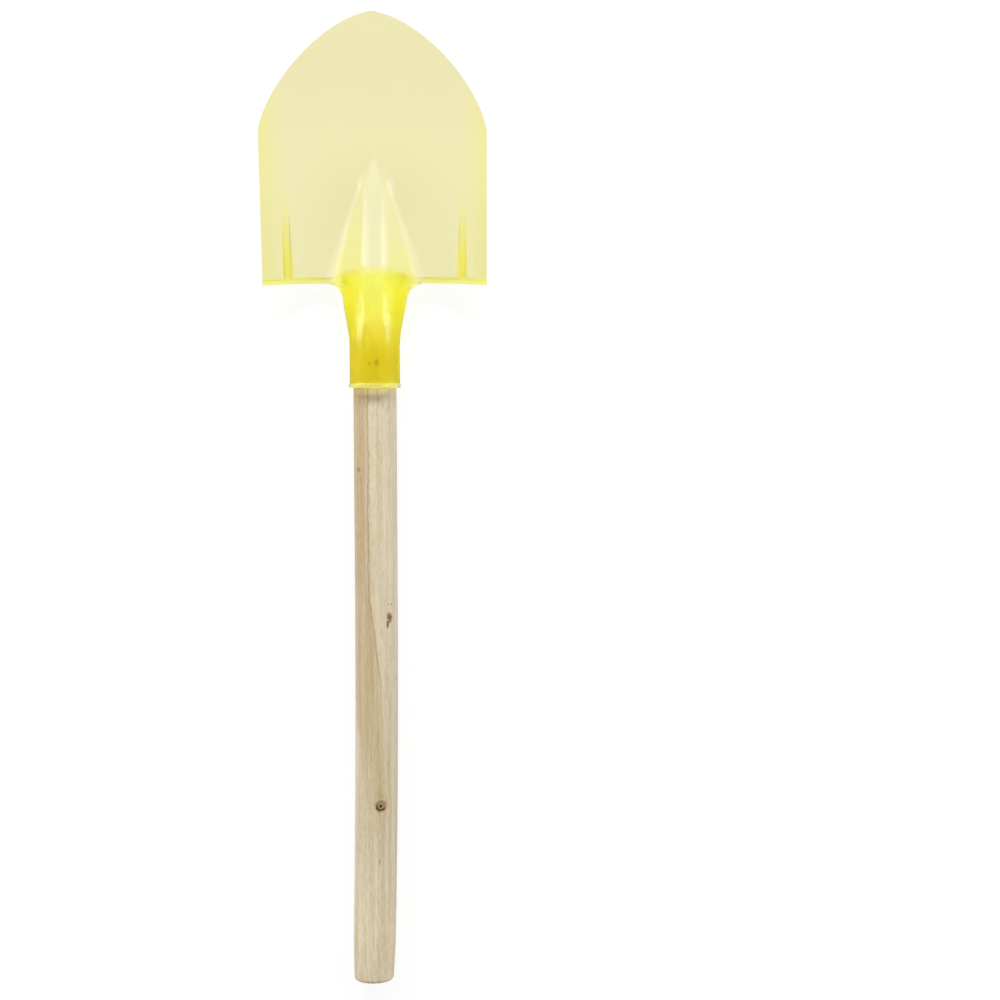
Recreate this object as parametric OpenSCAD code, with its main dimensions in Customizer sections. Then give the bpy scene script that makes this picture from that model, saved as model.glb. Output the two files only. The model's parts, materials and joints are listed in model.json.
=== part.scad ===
// Toy sand shovel: a moulded plastic head on a round wooden handle.
// The head is drawn with the handle's axis along Y, the socket's mouth at the origin and the
// scoop's face to +Z. The whole shovel is then tipped so that it lies on its back on z = 0.

/* [Handle] */
// Diameter of the wooden handle
handle_d = 22; // [20:0.5:24]
// Length of the handle from the socket's mouth to its free end
handle_reach = 308; // [200:1:600]
// Depth of the handle in the socket
tenon_len = 34; // [28:1:36]
// Rounding of the handle's free end
handle_round = 1.5; // [1:0.5:5]

/* [Socket] */
// Length of the socket from its mouth to the blade's tread edge
socket_len = 53.2; // [48:0.1:60]
// Wall of the socket
socket_wall = 1.75; // [1.5:0.05:2]
// Radius of the lip's bead round the mouth
lip_r = 1.2; // [0.9:0.1:1.2]
// Radius of the fillets between the socket and the tread edge, seen from the front
tread_fillet = 8.5; // [8:0.1:9]

/* [Blade] */
// Full width of the blade
blade_w = 115.2; // [110:0.2:125]
// Length of the blade from the tread edge to the tip
blade_len = 136.6; // [125:0.1:150]
// Wall of the blade
blade_wall = 1.3; // [1.2:0.1:1.6]
// Angle at which the blade rises from the handle's line
blade_lift = 8.5; // [6:0.5:10]
// Slope of the turned-up sides
side_slope = 0.45; // [0.35:0.05:0.6]

/* [Ridge] */
// Length of the ridge on the blade
ridge_len = 62; // [50:1:70]
// Height of the ridge over the blade at the tread edge
ridge_rise = 23; // [22.4:0.1:23.4]
// Steepest angle of the ridge's flanks
flank_angle = 54; // [53:1:57]

/* [Tread] */
// Thickness of the flange along the tread edge
flange_wall = 2.3; // [1.8:0.1:3]
// Depth of the flange behind the blade
flange_depth = 2.3; // [2.1:0.1:4]
// Length of the two wedge ribs
rib_len = 47; // [30:1:60]

/* [Screw] */
// Distance of the fixing screw from the socket's mouth
screw_at = 14; // [8:1:20]
// Length of the fixing screw
screw_len = 15; // [10:1:18]

/* [Hidden] */
$fn = 64;

plastic = [0.95, 0.91, 0.42];
wood = [0.84, 0.77, 0.65];
steel = [0.72, 0.73, 0.75];

// Radii about the handle's axis, and the clearance between the wood and the plastic
handle_r = handle_d / 2;
fit_gap = 0.1;
bore_r = handle_r + fit_gap;
bore_draft = 0.7;
bore_depth = tenon_len + 4;
tube_r = bore_r + socket_wall;
// The handle's end in the socket is domed, and the dome ends in a small flat
dome_len = 14;
dome_turn = 72;
dome_step = 12;

// The blade's face meets the tread plane this far behind the handle's axis
tread_drop = 10.8;
// Half-widths of the blade at the tread and at its widest, and the outline's shape past that
max_half = blade_w / 2;
tread_half = max_half - 0.35;
shoulder_at = 77;
nose_power = 1.48;
nose_round = 1.56;
// The cross-section is flat in the middle and bends up round this distance from the centre line
bend_at = 40;
bend_soft = 8;
// Radii of the ridge's crest and of the fillet along its foot at the tread, the share that they lose
// by its tip, and the swell of its profile
crest_r = 9;
foot_r = 5;
tip_loss = 0.35;
ridge_swell = 0.3;

// The socket's straight stretch ends this far below the tread, and then widens to each side
flare_len = 33;
flare_widen = 4.2;
flare_half = tube_r + flare_widen + tread_fillet;
crest_len = 26;
// Share of the tube's section that lies in the columns of the ridge
tube_share = 0.9;
tube_side = 0.985;

// The flange fades in beside the socket, and its section is given as [distance, depth] in its own sizes
flange_from = 20.4;
flange_fade = 2.6;
flange_section = [[0, 0.8], [0.25, 1], [0.75, 1], [1, 0.8], [1.2, 0]];
// The socket's back wall runs on past the tread and ends in an arch, where the ridge's hollow opens
strap_depth = tube_r - tread_drop - blade_wall;
strap_half = 8;
strap_fade = 5;
arch_at = 6.6;
arch_drop = 3.1;
arch_half = 18.5;
arch_edge = 0.4;
arch_fade = 12;

// Wedge ribs behind the blade, sunk in its wall
rib_out = 46.7;
rib_in = 41;
rib_tip_in = 44;
rib_start = 1.3;
rib_depth = flange_depth - 0.3;
bury = 0.8;

// Fixing screw, countersunk in the back of the socket
screw_r = 1.4;
screw_head_r = 2.7;
screw_head_h = 1.3;
screw_tip = 3;
screw_gap = 0.05;
slot_w = 0.7;
slot_depth = 0.7;

// Columns across the head to each side, and rows along it
ridge_cols = 9;
knee_col = 4;
wing_cols = 7;
cols = ridge_cols + wing_cols;
mouth_inset = 0.3;
flare_steps = 13;
flare_rows = [for (k = [0:flare_steps]) flare_len * pow(1 - k / (flare_steps + 1), 1.7)];
blade_from = arch_at + arch_edge;
blade_steps = 13;
nose_steps = 15;
blade_rows = concat(
    [for (edge = flange_section) edge[0] * flange_wall],
    [arch_at],
    [for (k = [0:blade_steps]) mix(blade_from, shoulder_at, k / blade_steps)],
    [for (k = [1:nose_steps]) mix(shoulder_at, blade_len, (1 - cos(180 * k / (nose_steps + 0.6))) / 2)]
);

function mix(a, b, k) = a + (b - a) * k;
function unit(k) = min(1, max(0, k));
function ease(k) = pow(unit(k), 2) * (3 - 2 * unit(k));

// Outline and dish of the blade, at a distance v from the tread and x from the centre line
function blade_half(v) = v < shoulder_at
    ? mix(tread_half, max_half, v / shoulder_at)
    : max_half * pow(1 - pow((v - shoulder_at) / (blade_len - shoulder_at), nose_power), 1 / nose_round);
function bend(x) = side_slope * (norm([x - bend_at, bend_soft]) + x - bend_at) / 2;
function dish(x) = bend(abs(x)) - bend(0);

// Ridge: a round crest, straight flanks and a fillet along the foot, or the same section a wall further in
function ridge_h(v) = let (k = min(1, v / ridge_len)) ridge_rise * (1 - k) * (1 + ridge_swell * k);
function radius_share(v) = 1 - tip_loss * pow(unit(v / ridge_len), 2);
function radii(v) = radius_share(v) * (crest_r + foot_r);
function ridge_angle(v) = acos(max(cos(flank_angle), 1 - ridge_h(v) / radii(v)));
function ridge_flank(v) = let (a = ridge_angle(v))
    ridge_h(v) <= 0 ? 0 : max(0, ridge_h(v) - radii(v) * (1 - cos(a))) / sin(a);
function ridge_half(v) = let (a = ridge_angle(v)) radii(v) * sin(a) + ridge_flank(v) * cos(a);
function ridge(x, v, wall) = let (
        h = ridge_h(v),
        a = ridge_angle(v),
        half = ridge_half(v),
        crest = radius_share(v) * crest_r - wall,
        foot = radius_share(v) * foot_r + wall,
        r = abs(x)
    )
    r >= half ? 0
    : r >= half - foot * sin(a) ? foot - sqrt(pow(foot, 2) - pow(half - r, 2))
    : r <= crest * sin(a) ? h - crest + sqrt(pow(crest, 2) - pow(r, 2))
    : h - crest * (1 - cos(a)) - (r - crest * sin(a)) * tan(a);

// Front of the blade's wall over its plane, and its back: closed at the socket, hollow under the ridge
function face(x, v) = dish(x) + ridge(x, v, 0);
function closed_back(x) = dish(x) - blade_wall - strap_depth * (1 - ease((abs(x) - strap_half) / strap_fade));
function flange(x, v) = flange_depth * ease((abs(x) - flange_from) / flange_fade)
    * lookup(v / flange_wall, flange_section);
function arch_dip(x, v) = arch_drop * pow(unit(abs(x) / arch_half), 2)
    * (1 - ease((abs(x) - arch_half) / arch_half))
    * lookup(v, [[0, 0], [1.2 * flange_wall, 0], [arch_at, 1], [blade_from, 1], [blade_from + arch_fade, 0]]);
function back(x, v) = v < blade_from ? closed_back(x) - flange(x, v)
    : dish(x) - blade_wall + ridge(x, v, blade_wall);

// A point of the blade's plane, n out of it, in the handle's axes
function on_blade(x, v, n) = [
    x,
    socket_len + v * cos(blade_lift) - n * sin(blade_lift),
    v * sin(blade_lift) + n * cos(blade_lift) - tread_drop
];

// Columns across the blade: the ridge has its own, and the rest run out to the edge
function ridge_span(v) = min(max(ridge_half(v), 8), blade_half(v) / 2);
function column(i, inner, outer) = let (k = abs(i))
    sign(i) * (k <= ridge_cols ? inner * k / ridge_cols : mix(inner, outer, (k - ridge_cols) / wing_cols));
function blade_x(i, v) = column(i, ridge_span(v), blade_half(v));
function tread_x(i, d) = column(i, ridge_span(-d), flare_half);

// Sections of the socket, at a distance d below the tread: from the round tube to the ridge's section
// The crest and upper flanks meet the ridge without a crease, and the foot follows the tread's fillet
function fillet(d) = d >= tread_fillet ? 0
    : tread_fillet - sqrt(pow(tread_fillet, 2) - pow(tread_fillet - d, 2));
function flare_ease(d) = d >= flare_len ? 0 : (1 + cos(180 * d / flare_len)) / 2;
function side_share(d) = (flare_widen * flare_ease(d) + fillet(d)) / (flare_half - tube_r);
function foot_share(d) = 1 - pow(1 - side_share(d), 1.6);
function height_share(d, i) =
    mix(ease(1 - d / crest_len), foot_share(d), ease((abs(i) - knee_col) / (ridge_cols - knee_col)));
function width_share(d, i) =
    mix(ease(1 - d / crest_len), side_share(d), ease((abs(i) - knee_col) / (ridge_cols - knee_col)));
function tube_turn(i) = 90 * column(i, tube_share, tube_side);
function tube_point(d, i, way) = let (a = tube_turn(i))
    [tube_r * sin(a), socket_len - d, way * tube_r * cos(a)];
function flare_point(d, i, p, q) = let (wide = width_share(d, i))
    [mix(p[0], q[0], wide), mix(p[1], q[1], wide), mix(p[2], q[2], height_share(d, i))];
function flare_front(d, i) = let (x = tread_x(i, d))
    flare_point(d, i, tube_point(d, i, 1), on_blade(x, -d, face(x, -d)));
function flare_back(d, i) = let (x = tread_x(i, 0))
    flare_point(d, i, tube_point(d, i, -1), on_blade(x, 0, closed_back(x)) - [0, d, 0]);

// Closed loops round the head: the front from left to right, then the back from right to left
function socket_loop(d) = concat(
    [for (i = [-cols:cols]) flare_front(d, i)],
    [for (i = [cols:-1:-cols]) flare_back(d, i)]
);
function blade_loop(v) = concat(
    [for (i = [-cols:cols]) let (x = blade_x(i, v)) on_blade(x, v, face(x, v))],
    [for (i = [cols:-1:-cols]) let (x = blade_x(i, v)) on_blade(x, v - arch_dip(x, v), back(x, v))]
);

// Throat inside the socket, from the round bore to an arch with straight steep flanks over a flat floor
// The handle stops against the shoulder where the throat is narrower than the bore
throat_r = bore_r - bore_draft - 1;
throat_from = bore_depth - 0.5;
throat_end = 8.5;
throat_angle = 60;
throat_bends = 6;
throat_cols = 10;
arch_wall = blade_wall + 0.3;
arch_r = crest_r - arch_wall;
function arch_n(turn, h) = h - arch_wall - arch_r * (1 - cos(turn * throat_angle));
function arch_point(k, v) = let (
        h = ridge_h(v),
        drop = unit(2 * abs(k) - 1) * arch_n(1, h),
        x = arch_r * sin(unit(2 * abs(k)) * throat_angle) + drop / tan(throat_angle)
    ) on_blade(sign(k) * x, v, arch_n(unit(2 * abs(k)), h) - drop);
function arch_loop(v) = concat(
    [for (i = [-throat_cols:throat_cols]) arch_point(i / throat_cols, v)],
    [for (i = [throat_cols - 1:-1:1 - throat_cols])
        mix(arch_point(-1, v), arch_point(1, v), (i / throat_cols + 1) / 2)]
);
function bore_loop(y) = [
    for (i = [0:4 * throat_cols - 1])
        let (a = 90 * (i / throat_cols - 1)) [throat_r * sin(a), y, throat_r * cos(a)]
];
function blend_loops(a, b, k) = [for (i = [0:len(a) - 1]) mix(a[i], b[i], k)];
throat_loops = concat(
    [for (k = [0:throat_bends])
        blend_loops(bore_loop(throat_from), arch_loop(0), ease(k / throat_bends))],
    [arch_loop(throat_end / 2), arch_loop(throat_end)]
);

// A wedge rib's section at a distance v from the tread
function rib_loop(v, inner, depth) = [
    for (p = [[inner, bury], [rib_out, bury], [rib_out, -depth], [inner, -depth]])
        on_blade(p[0], v, dish(p[0]) - blade_wall + p[1])
];

// The shovel lies on the flange and on the underside of the handle's free end
flange_foot = [
    for (i = [ridge_cols:cols], edge = flange_section)
        let (v = edge[0] * flange_wall, x = blade_x(i, v)) on_blade(x, v, back(x, v))
];
handle_foot = handle_reach - handle_round;
rest_tilt = max([for (p = flange_foot) atan((-p[2] - handle_r) / (p[1] + handle_foot))]);
axis_up = handle_foot * sin(rest_tilt) + handle_r * cos(rest_tilt);
tip = on_blade(0, blade_rows[len(blade_rows) - 1], -blade_wall);
tip_y = tip[1] * cos(rest_tilt) - tip[2] * sin(rest_tilt);
end_y = -handle_reach * cos(rest_tilt) - (handle_r - handle_round) * sin(rest_tilt);
middle_y = (tip_y + end_y) / 2;

// A closed skin over loops of equal length, whose points run there and back
module skin(loops) {
    size = len(loops[0]);
    half = floor(size / 2);
    last = (len(loops) - 1) * size;
    sides = [
        for (j = [0:len(loops) - 2], i = [0:size - 1])
            let (a = j * size + i, b = j * size + (i + 1) % size)
                each [[a, b + size, b], [a, a + size, b + size]]
    ];
    start = [for (i = [0:half - 2]) each [[i, i + 1, size - 2 - i], [i, size - 2 - i, size - 1 - i]]];
    end = [for (f = start) [last + f[0], last + f[2], last + f[1]]];
    polyhedron(points = [for (loop = loops) each loop], faces = concat(sides, start, end));
}

// Lays what is drawn on the handle's axis down in its resting place
module at_rest() {
    translate([0, -middle_y, axis_up])
        rotate([rest_tilt, 0, 0])
            children();
}

// Turns a shape drawn along Z on to the handle's axis, with +Z towards the tip
module along_axis() {
    rotate([-90, 0, 0])
        children();
}

// Places a shape at the fixing screw, drawn from the socket's back towards the axis
module at_screw() {
    translate([0, screw_at, -tube_r])
        children();
}

module socket_lip() {
    along_axis()
        rotate_extrude()
            translate([tube_r - lip_r / 2, lip_r])
                circle(lip_r, $fn = 16);
}

module socket_bore() {
    along_axis()
        translate([0, 0, -1])
            cylinder(r1 = bore_r + bore_draft / bore_depth, r2 = bore_r - bore_draft, h = bore_depth + 1);
}

module screw_hole() {
    sink_r = screw_head_r + 2 * screw_gap;
    at_screw() {
        translate([0, 0, -1])
            cylinder(r = screw_r + screw_gap, h = 2 * socket_wall + 1);
        translate([0, 0, -screw_gap])
            cylinder(r1 = sink_r, r2 = screw_r + screw_gap, h = screw_head_h + screw_gap);
        translate([0, 0, -2])
            cylinder(r = sink_r, h = 2);
    }
}

module shovel_head() {
    color(plastic)
        at_rest()
            difference() {
                union() {
                    skin(concat(
                        [for (d = concat([socket_len - mouth_inset], flare_rows)) socket_loop(d)],
                        [for (v = blade_rows) blade_loop(v)]
                    ));
                    for (side = [0, 1])
                        mirror([side, 0, 0])
                            skin([
                                rib_loop(rib_start, rib_in, rib_depth),
                                rib_loop(rib_len, rib_tip_in, -bury / 2)
                            ]);
                    socket_lip();
                }
                socket_bore();
                skin(throat_loops);
                screw_hole();
            }
}

module handle() {
    dome_at = tenon_len - dome_len;
    tenon_r = handle_r - bore_draft * dome_at / bore_depth;
    color(wood)
        at_rest()
            difference() {
                along_axis()
                    rotate_extrude() {
                        translate([0, -handle_reach])
                            square([handle_r - handle_round, handle_round]);
                        translate([handle_r - handle_round, handle_round - handle_reach])
                            intersection() {
                                circle(handle_round);
                                translate([0, -handle_round])
                                    square(handle_round);
                            }
                        translate([0, handle_round - handle_reach])
                            square([handle_r, handle_reach - handle_round]);
                        polygon(concat(
                            [[0, 0], [handle_r, 0]],
                            [for (turn = [0:dome_step:dome_turn])
                                [tenon_r * cos(turn), dome_at + dome_len * sin(turn) / sin(dome_turn)]],
                            [[0, tenon_len]]
                        ));
                    }
                at_screw()
                    cylinder(r = screw_r + screw_gap, h = screw_len + 1);
            }
}

module fixing_screw() {
    color(steel)
        at_rest()
            at_screw()
                difference() {
                    rotate_extrude()
                        polygon([
                            [0, 0],
                            [screw_head_r, 0],
                            [screw_r, screw_head_h],
                            [screw_r, screw_len - screw_tip],
                            [0, screw_len]
                        ]);
                    for (turn = [0, 90])
                        rotate([0, 0, turn])
                            translate([-screw_head_r / 2, -slot_w / 2, -1])
                                cube([screw_head_r, slot_w, slot_depth + 1]);
                }
}

shovel_head();
handle();
fixing_screw();
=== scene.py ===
"""Toy sand shovel: a clear moulded head on a round wooden handle, laid on a pale studio floor.

The head, the handle and the screw are drawn in the handle's own axes, in millimetres: y runs along the
handle with the socket's mouth at 0 and the blade's tip ahead, and z points out of the scoop's face.
Seat then lays them down where the frame has its solids, in metres.
"""

import json
import logging
import math
from dataclasses import dataclass, field
from enum import Enum
from functools import reduce
from typing import Any, Callable, Mapping, Sequence

import bmesh
import bpy
from mathutils import Matrix, Vector

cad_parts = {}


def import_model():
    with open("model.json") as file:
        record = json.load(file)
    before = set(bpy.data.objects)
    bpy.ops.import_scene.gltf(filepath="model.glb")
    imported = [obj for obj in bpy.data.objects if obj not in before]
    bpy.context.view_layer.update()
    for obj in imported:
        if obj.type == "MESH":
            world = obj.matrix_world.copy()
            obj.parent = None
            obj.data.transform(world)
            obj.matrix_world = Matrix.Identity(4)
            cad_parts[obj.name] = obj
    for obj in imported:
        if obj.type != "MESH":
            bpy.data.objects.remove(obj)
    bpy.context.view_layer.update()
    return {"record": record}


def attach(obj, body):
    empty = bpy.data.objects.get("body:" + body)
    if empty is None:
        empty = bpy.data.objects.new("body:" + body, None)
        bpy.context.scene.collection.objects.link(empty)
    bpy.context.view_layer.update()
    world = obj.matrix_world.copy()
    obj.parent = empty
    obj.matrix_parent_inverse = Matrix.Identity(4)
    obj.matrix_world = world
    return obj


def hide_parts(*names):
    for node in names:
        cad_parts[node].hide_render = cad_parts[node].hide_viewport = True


LOG = logging.getLogger("shovel")
MM = 0.001
WELD_MM = 1e-4
WHITE = (1.0, 1.0, 1.0, 1.0)

Point = tuple[float, float, float]
Colour = tuple[float, float, float]
Span = tuple[float, float]
Band = tuple[float, float, float, float]
HalfRow = tuple[list[Point], list[Point], list[Point]]


class Side(Enum):
    """The two sides of the shovel, as seen from the front."""

    LEFT = -1
    RIGHT = 1


def mix(a: Any, b: Any, share: Any) -> Any:
    """Value between a and b, each a number or a signal."""
    return a + (b - a) * share


def unit(value: float) -> float:
    """Value kept between 0 and 1."""
    return min(1.0, max(0.0, value))


def ease(value: float) -> float:
    """Soft step from 0 to 1."""
    return unit(value) ** 2 * (3 - 2 * unit(value))


def lookup(value: float, table: Sequence[Span]) -> float:
    """Reads a table of straight stretches.

    Args:
        value: Place along the table.
        table: Pairs of place and result, in rising order of place.

    Returns:
        The result at that place, held at the table's ends.
    """
    if value <= table[0][0]:
        return table[0][1]
    for (low, first), (high, second) in zip(table, table[1:]):
        if value <= high:
            return mix(first, second, (value - low) / (high - low))
    return table[-1][1]


def linear(*seen: float) -> Colour:
    """Scene-linear colour of a red, green and blue as they are seen, from 0 to 255."""
    parts = [value / 255 for value in seen]
    return tuple(part / 12.92 if part <= 0.04045 else ((part + 0.055) / 1.055) ** 2.4 for part in parts)


def between(a: Sequence[float], b: Sequence[float], share: float) -> Point:
    """Point between two points."""
    return tuple(mix(p, q, share) for p, q in zip(a, b))


class Signal:
    """A node's output that takes part in arithmetic; each operation adds a Math node."""

    def __init__(self, board: "NodeBoard", socket: bpy.types.NodeSocket | None) -> None:
        """Keeps the socket and the board that it belongs to."""
        self.board = board
        self.socket = socket

    def math(self, operation: str, *values: Any) -> "Signal":
        """Adds one Math node of that operation, with numbers or signals as its inputs in order."""
        return self.board.node("ShaderNodeMath", {"operation": operation}, dict(enumerate(values)))

    def __add__(self, other: Any) -> "Signal":
        """Sum."""
        return self.math("ADD", self, other)

    def __radd__(self, other: Any) -> "Signal":
        """Sum with a number in front."""
        return self.math("ADD", other, self)

    def __sub__(self, other: Any) -> "Signal":
        """Difference."""
        return self.math("SUBTRACT", self, other)

    def __rsub__(self, other: Any) -> "Signal":
        """Difference from a number."""
        return self.math("SUBTRACT", other, self)

    def __mul__(self, other: Any) -> "Signal":
        """Product."""
        return self.math("MULTIPLY", self, other)

    def __rmul__(self, other: Any) -> "Signal":
        """Product with a number in front."""
        return self.math("MULTIPLY", other, self)

    def __truediv__(self, other: Any) -> "Signal":
        """Quotient."""
        return self.math("DIVIDE", self, other)

    def step(self, off: float, full: float) -> "Signal":
        """Soft step.

        Args:
            off: Where the step is 0.
            full: Where it is 1; either may be the larger one.

        Returns:
            The step's value.
        """
        low, high = sorted((off, full))
        first = 0.0 if off < full else 1.0
        ends = {"From Min": low, "From Max": high, "To Min": first, "To Max": 1.0 - first}
        return self.board.node(
            "ShaderNodeMapRange", {"interpolation_type": "SMOOTHSTEP"}, {"Value": self, **ends}
        )

    def band(self, band: Band) -> "Signal":
        """1 on a stretch, with a soft rise over the first two places and a soft fall over the others."""
        return self.step(*band[:2]) * self.step(*band[:1:-1])

    def root(self) -> "Signal":
        """Square root."""
        return self.math("SQRT", self)

    def exp(self) -> "Signal":
        """Exponential."""
        return self.math("EXPONENT", self)

    def sine(self) -> "Signal":
        """Sine of an angle in radians."""
        return self.math("SINE", self)

    def size(self) -> "Signal":
        """Value without its sign."""
        return self.math("ABSOLUTE", self)

    def least(self, other: Any) -> "Signal":
        """The smaller of the two."""
        return self.math("MINIMUM", self, other)

    def most(self, other: Any) -> "Signal":
        """The larger of the two."""
        return self.math("MAXIMUM", self, other)


class NodeBoard:
    """A material's or world's node tree, filled from an empty start."""

    def __init__(self, tree: bpy.types.NodeTree) -> None:
        """Empties the tree and keeps it."""
        self.tree = tree
        self.tree.nodes.clear()

    def node(
        self,
        kind: str,
        settings: Mapping[str, Any] | None = None,
        sockets: Mapping[Any, Any] | None = None,
        out: int | str = 0,
    ) -> Signal:
        """Adds a node.

        Args:
            kind: The node's type.
            settings: Its own properties, set first; "stops" fills a colour ramp.
            sockets: Values or links by the input's name or number.
            out: Name or number of the output that is returned.

        Returns:
            The chosen output.
        """
        node = self.tree.nodes.new(kind)
        for name, value in (settings or {}).items():
            if name == "stops":
                self._fill_ramp(node.color_ramp, value)
            else:
                setattr(node, name, value)
        for name, value in (sockets or {}).items():
            if isinstance(value, Signal):
                self.tree.links.new(value.socket, node.inputs[name])
            else:
                node.inputs[name].default_value = value
        return Signal(self, node.outputs[out] if len(node.outputs) else None)

    @staticmethod
    def _fill_ramp(ramp: bpy.types.ColorRamp, stops: Sequence[tuple[float, Colour]]) -> None:
        """Sets a ramp's stops.

        Args:
            ramp: A new colour ramp.
            stops: Place and colour of each stop, in rising order.
        """
        while len(ramp.elements) < len(stops):
            ramp.elements.new(1.0)
        for element, (place, colour) in zip(ramp.elements, stops):
            element.position = place
            element.color = (*colour, 1.0)

    def blend(self, share: Any, first: Any, second: Any, way: str = "MIX") -> Signal:
        """Mixes two colours.

        Args:
            share: Share of the second colour, a number or signal.
            first: A colour or signal.
            second: A colour or signal.
            way: The Mix node's blend type.

        Returns:
            The mixed colour.
        """
        pair = [colour if isinstance(colour, Signal) else (*colour, 1.0) for colour in (first, second)]
        settings = {"data_type": "RGBA", "blend_type": way}
        return self.node("ShaderNodeMix", settings, {0: share, 6: pair[0], 7: pair[1]}, out=2)

    def layers(self, colour: Any, *layers: tuple[Any, ...]) -> Any:
        """Lays colours over one another.

        Args:
            colour: The lowest colour.
            layers: Share and colour of each layer, with its blend type where it isn't MIX.

        Returns:
            The colour with all layers.
        """
        for share, *over in layers:
            colour = self.blend(share, colour, *over)
        return colour

    def split(self, vector: Signal) -> tuple[Signal, ...]:
        """The x, y and z of a vector."""
        parts = self.node("ShaderNodeSeparateXYZ", None, {0: vector}).socket.node
        return tuple(Signal(self, output) for output in parts.outputs)

    def place(self) -> Signal:
        """The surface's place in the object's own axes, in metres."""
        return self.node("ShaderNodeTexCoord", out="Object")

    def join(self, x: Any, y: Any, z: Any) -> Signal:
        """A vector of three values."""
        return self.node("ShaderNodeCombineXYZ", None, {0: x, 1: y, 2: z})

    def noise(self, place: Signal, scale: float, detail: float = 2.0, rough: float = 0.5) -> Signal:
        """Soft noise from 0 to 1.

        Args:
            place: Vector that the noise is read at.
            scale: Cells in one unit of that vector.
            detail: Finer layers.
            rough: Strength of the finer layers.

        Returns:
            The noise's value.
        """
        sockets = {"Vector": place, "Scale": scale, "Detail": detail, "Roughness": rough}
        return self.node("ShaderNodeTexNoise", {"normalize": True}, sockets)

    def bump(self, height: Signal, strength: float, distance: float) -> Signal:
        """Normal of a surface with that relief, whose height is in shares of distance."""
        sockets = {"Height": height, "Strength": strength, "Distance": distance}
        return self.node("ShaderNodeBump", None, sockets)

    def rays(self, *names: str) -> Signal:
        """1 for the named kinds of ray and 0 for the others."""
        paths = self.node("ShaderNodeLightPath").socket.node.outputs
        return reduce(Signal.most, [Signal(self, paths[name]) for name in names])


def new_material(name: str) -> tuple[bpy.types.Material, NodeBoard]:
    """Makes a material.

    Args:
        name: The material's name.

    Returns:
        The material and its node board, still empty.
    """
    material = bpy.data.materials.new(name)
    material.use_nodes = True
    return material, NodeBoard(material.node_tree)


@dataclass
class Seat:
    """Where the shovel lies: the socket's mouth and the tilt of the handle, from the frame's grip."""

    mouth: Vector
    tilt: float

    @classmethod
    def from_record(cls, record: Mapping[str, Any]) -> "Seat":
        """Reads the seat from the grip's middle, axis and length.

        Args:
            record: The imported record.

        Returns:
            The seat.
        """
        grip = next(mount for mount in record["mounts"] if mount["name"] == "handle_grip")
        axis = Vector(grip["axis"]).normalized()
        mouth = Vector(grip["pos_m"]) - axis * (grip["dims"]["length_mm"] * MM / 2)
        return cls(mouth, math.atan2(-axis.z, -axis.y))

    def matrix(self) -> Matrix:
        """From the handle's own axes in millimetres to the frame in metres."""
        turn = Matrix.Rotation(self.tilt, 4, "X")
        return Matrix.Translation(self.mouth) @ turn @ Matrix.Scale(MM, 4)


@dataclass(frozen=True)
class Spot:
    """A surface's place as signals: millimetres to the right, ahead and in front of the socket's mouth."""

    across: Signal
    along: Signal
    up: Signal

    @classmethod
    def read(cls, board: NodeBoard, seat: Seat) -> "Spot":
        """Measures the place from the seat.

        Args:
            board: The material's node board.
            seat: Where the shovel lies.

        Returns:
            The place.
        """
        x, y, z = board.split(board.place())
        along = (y - seat.mouth.y) / MM
        return cls(x / MM, along, (z - seat.mouth.z) / MM - along * math.tan(seat.tilt))


@dataclass(frozen=True)
class Mark:
    """A mark on the shovel's front: its place and its half sizes, in millimetres."""

    x: float
    y: float
    wide: float
    long: float

    def offset(self, spot: Spot) -> tuple[Signal, Signal]:
        """How far to the right and ahead of the mark a place is, in its half sizes."""
        return (spot.across - self.x) / self.wide, (spot.along - self.y) / self.long


@dataclass(frozen=True)
class Knot(Mark):
    """A knot in the wood, with how dark it is and whether it is a dark ring round a core."""

    dark: float = 1.0
    ring: bool = False


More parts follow.
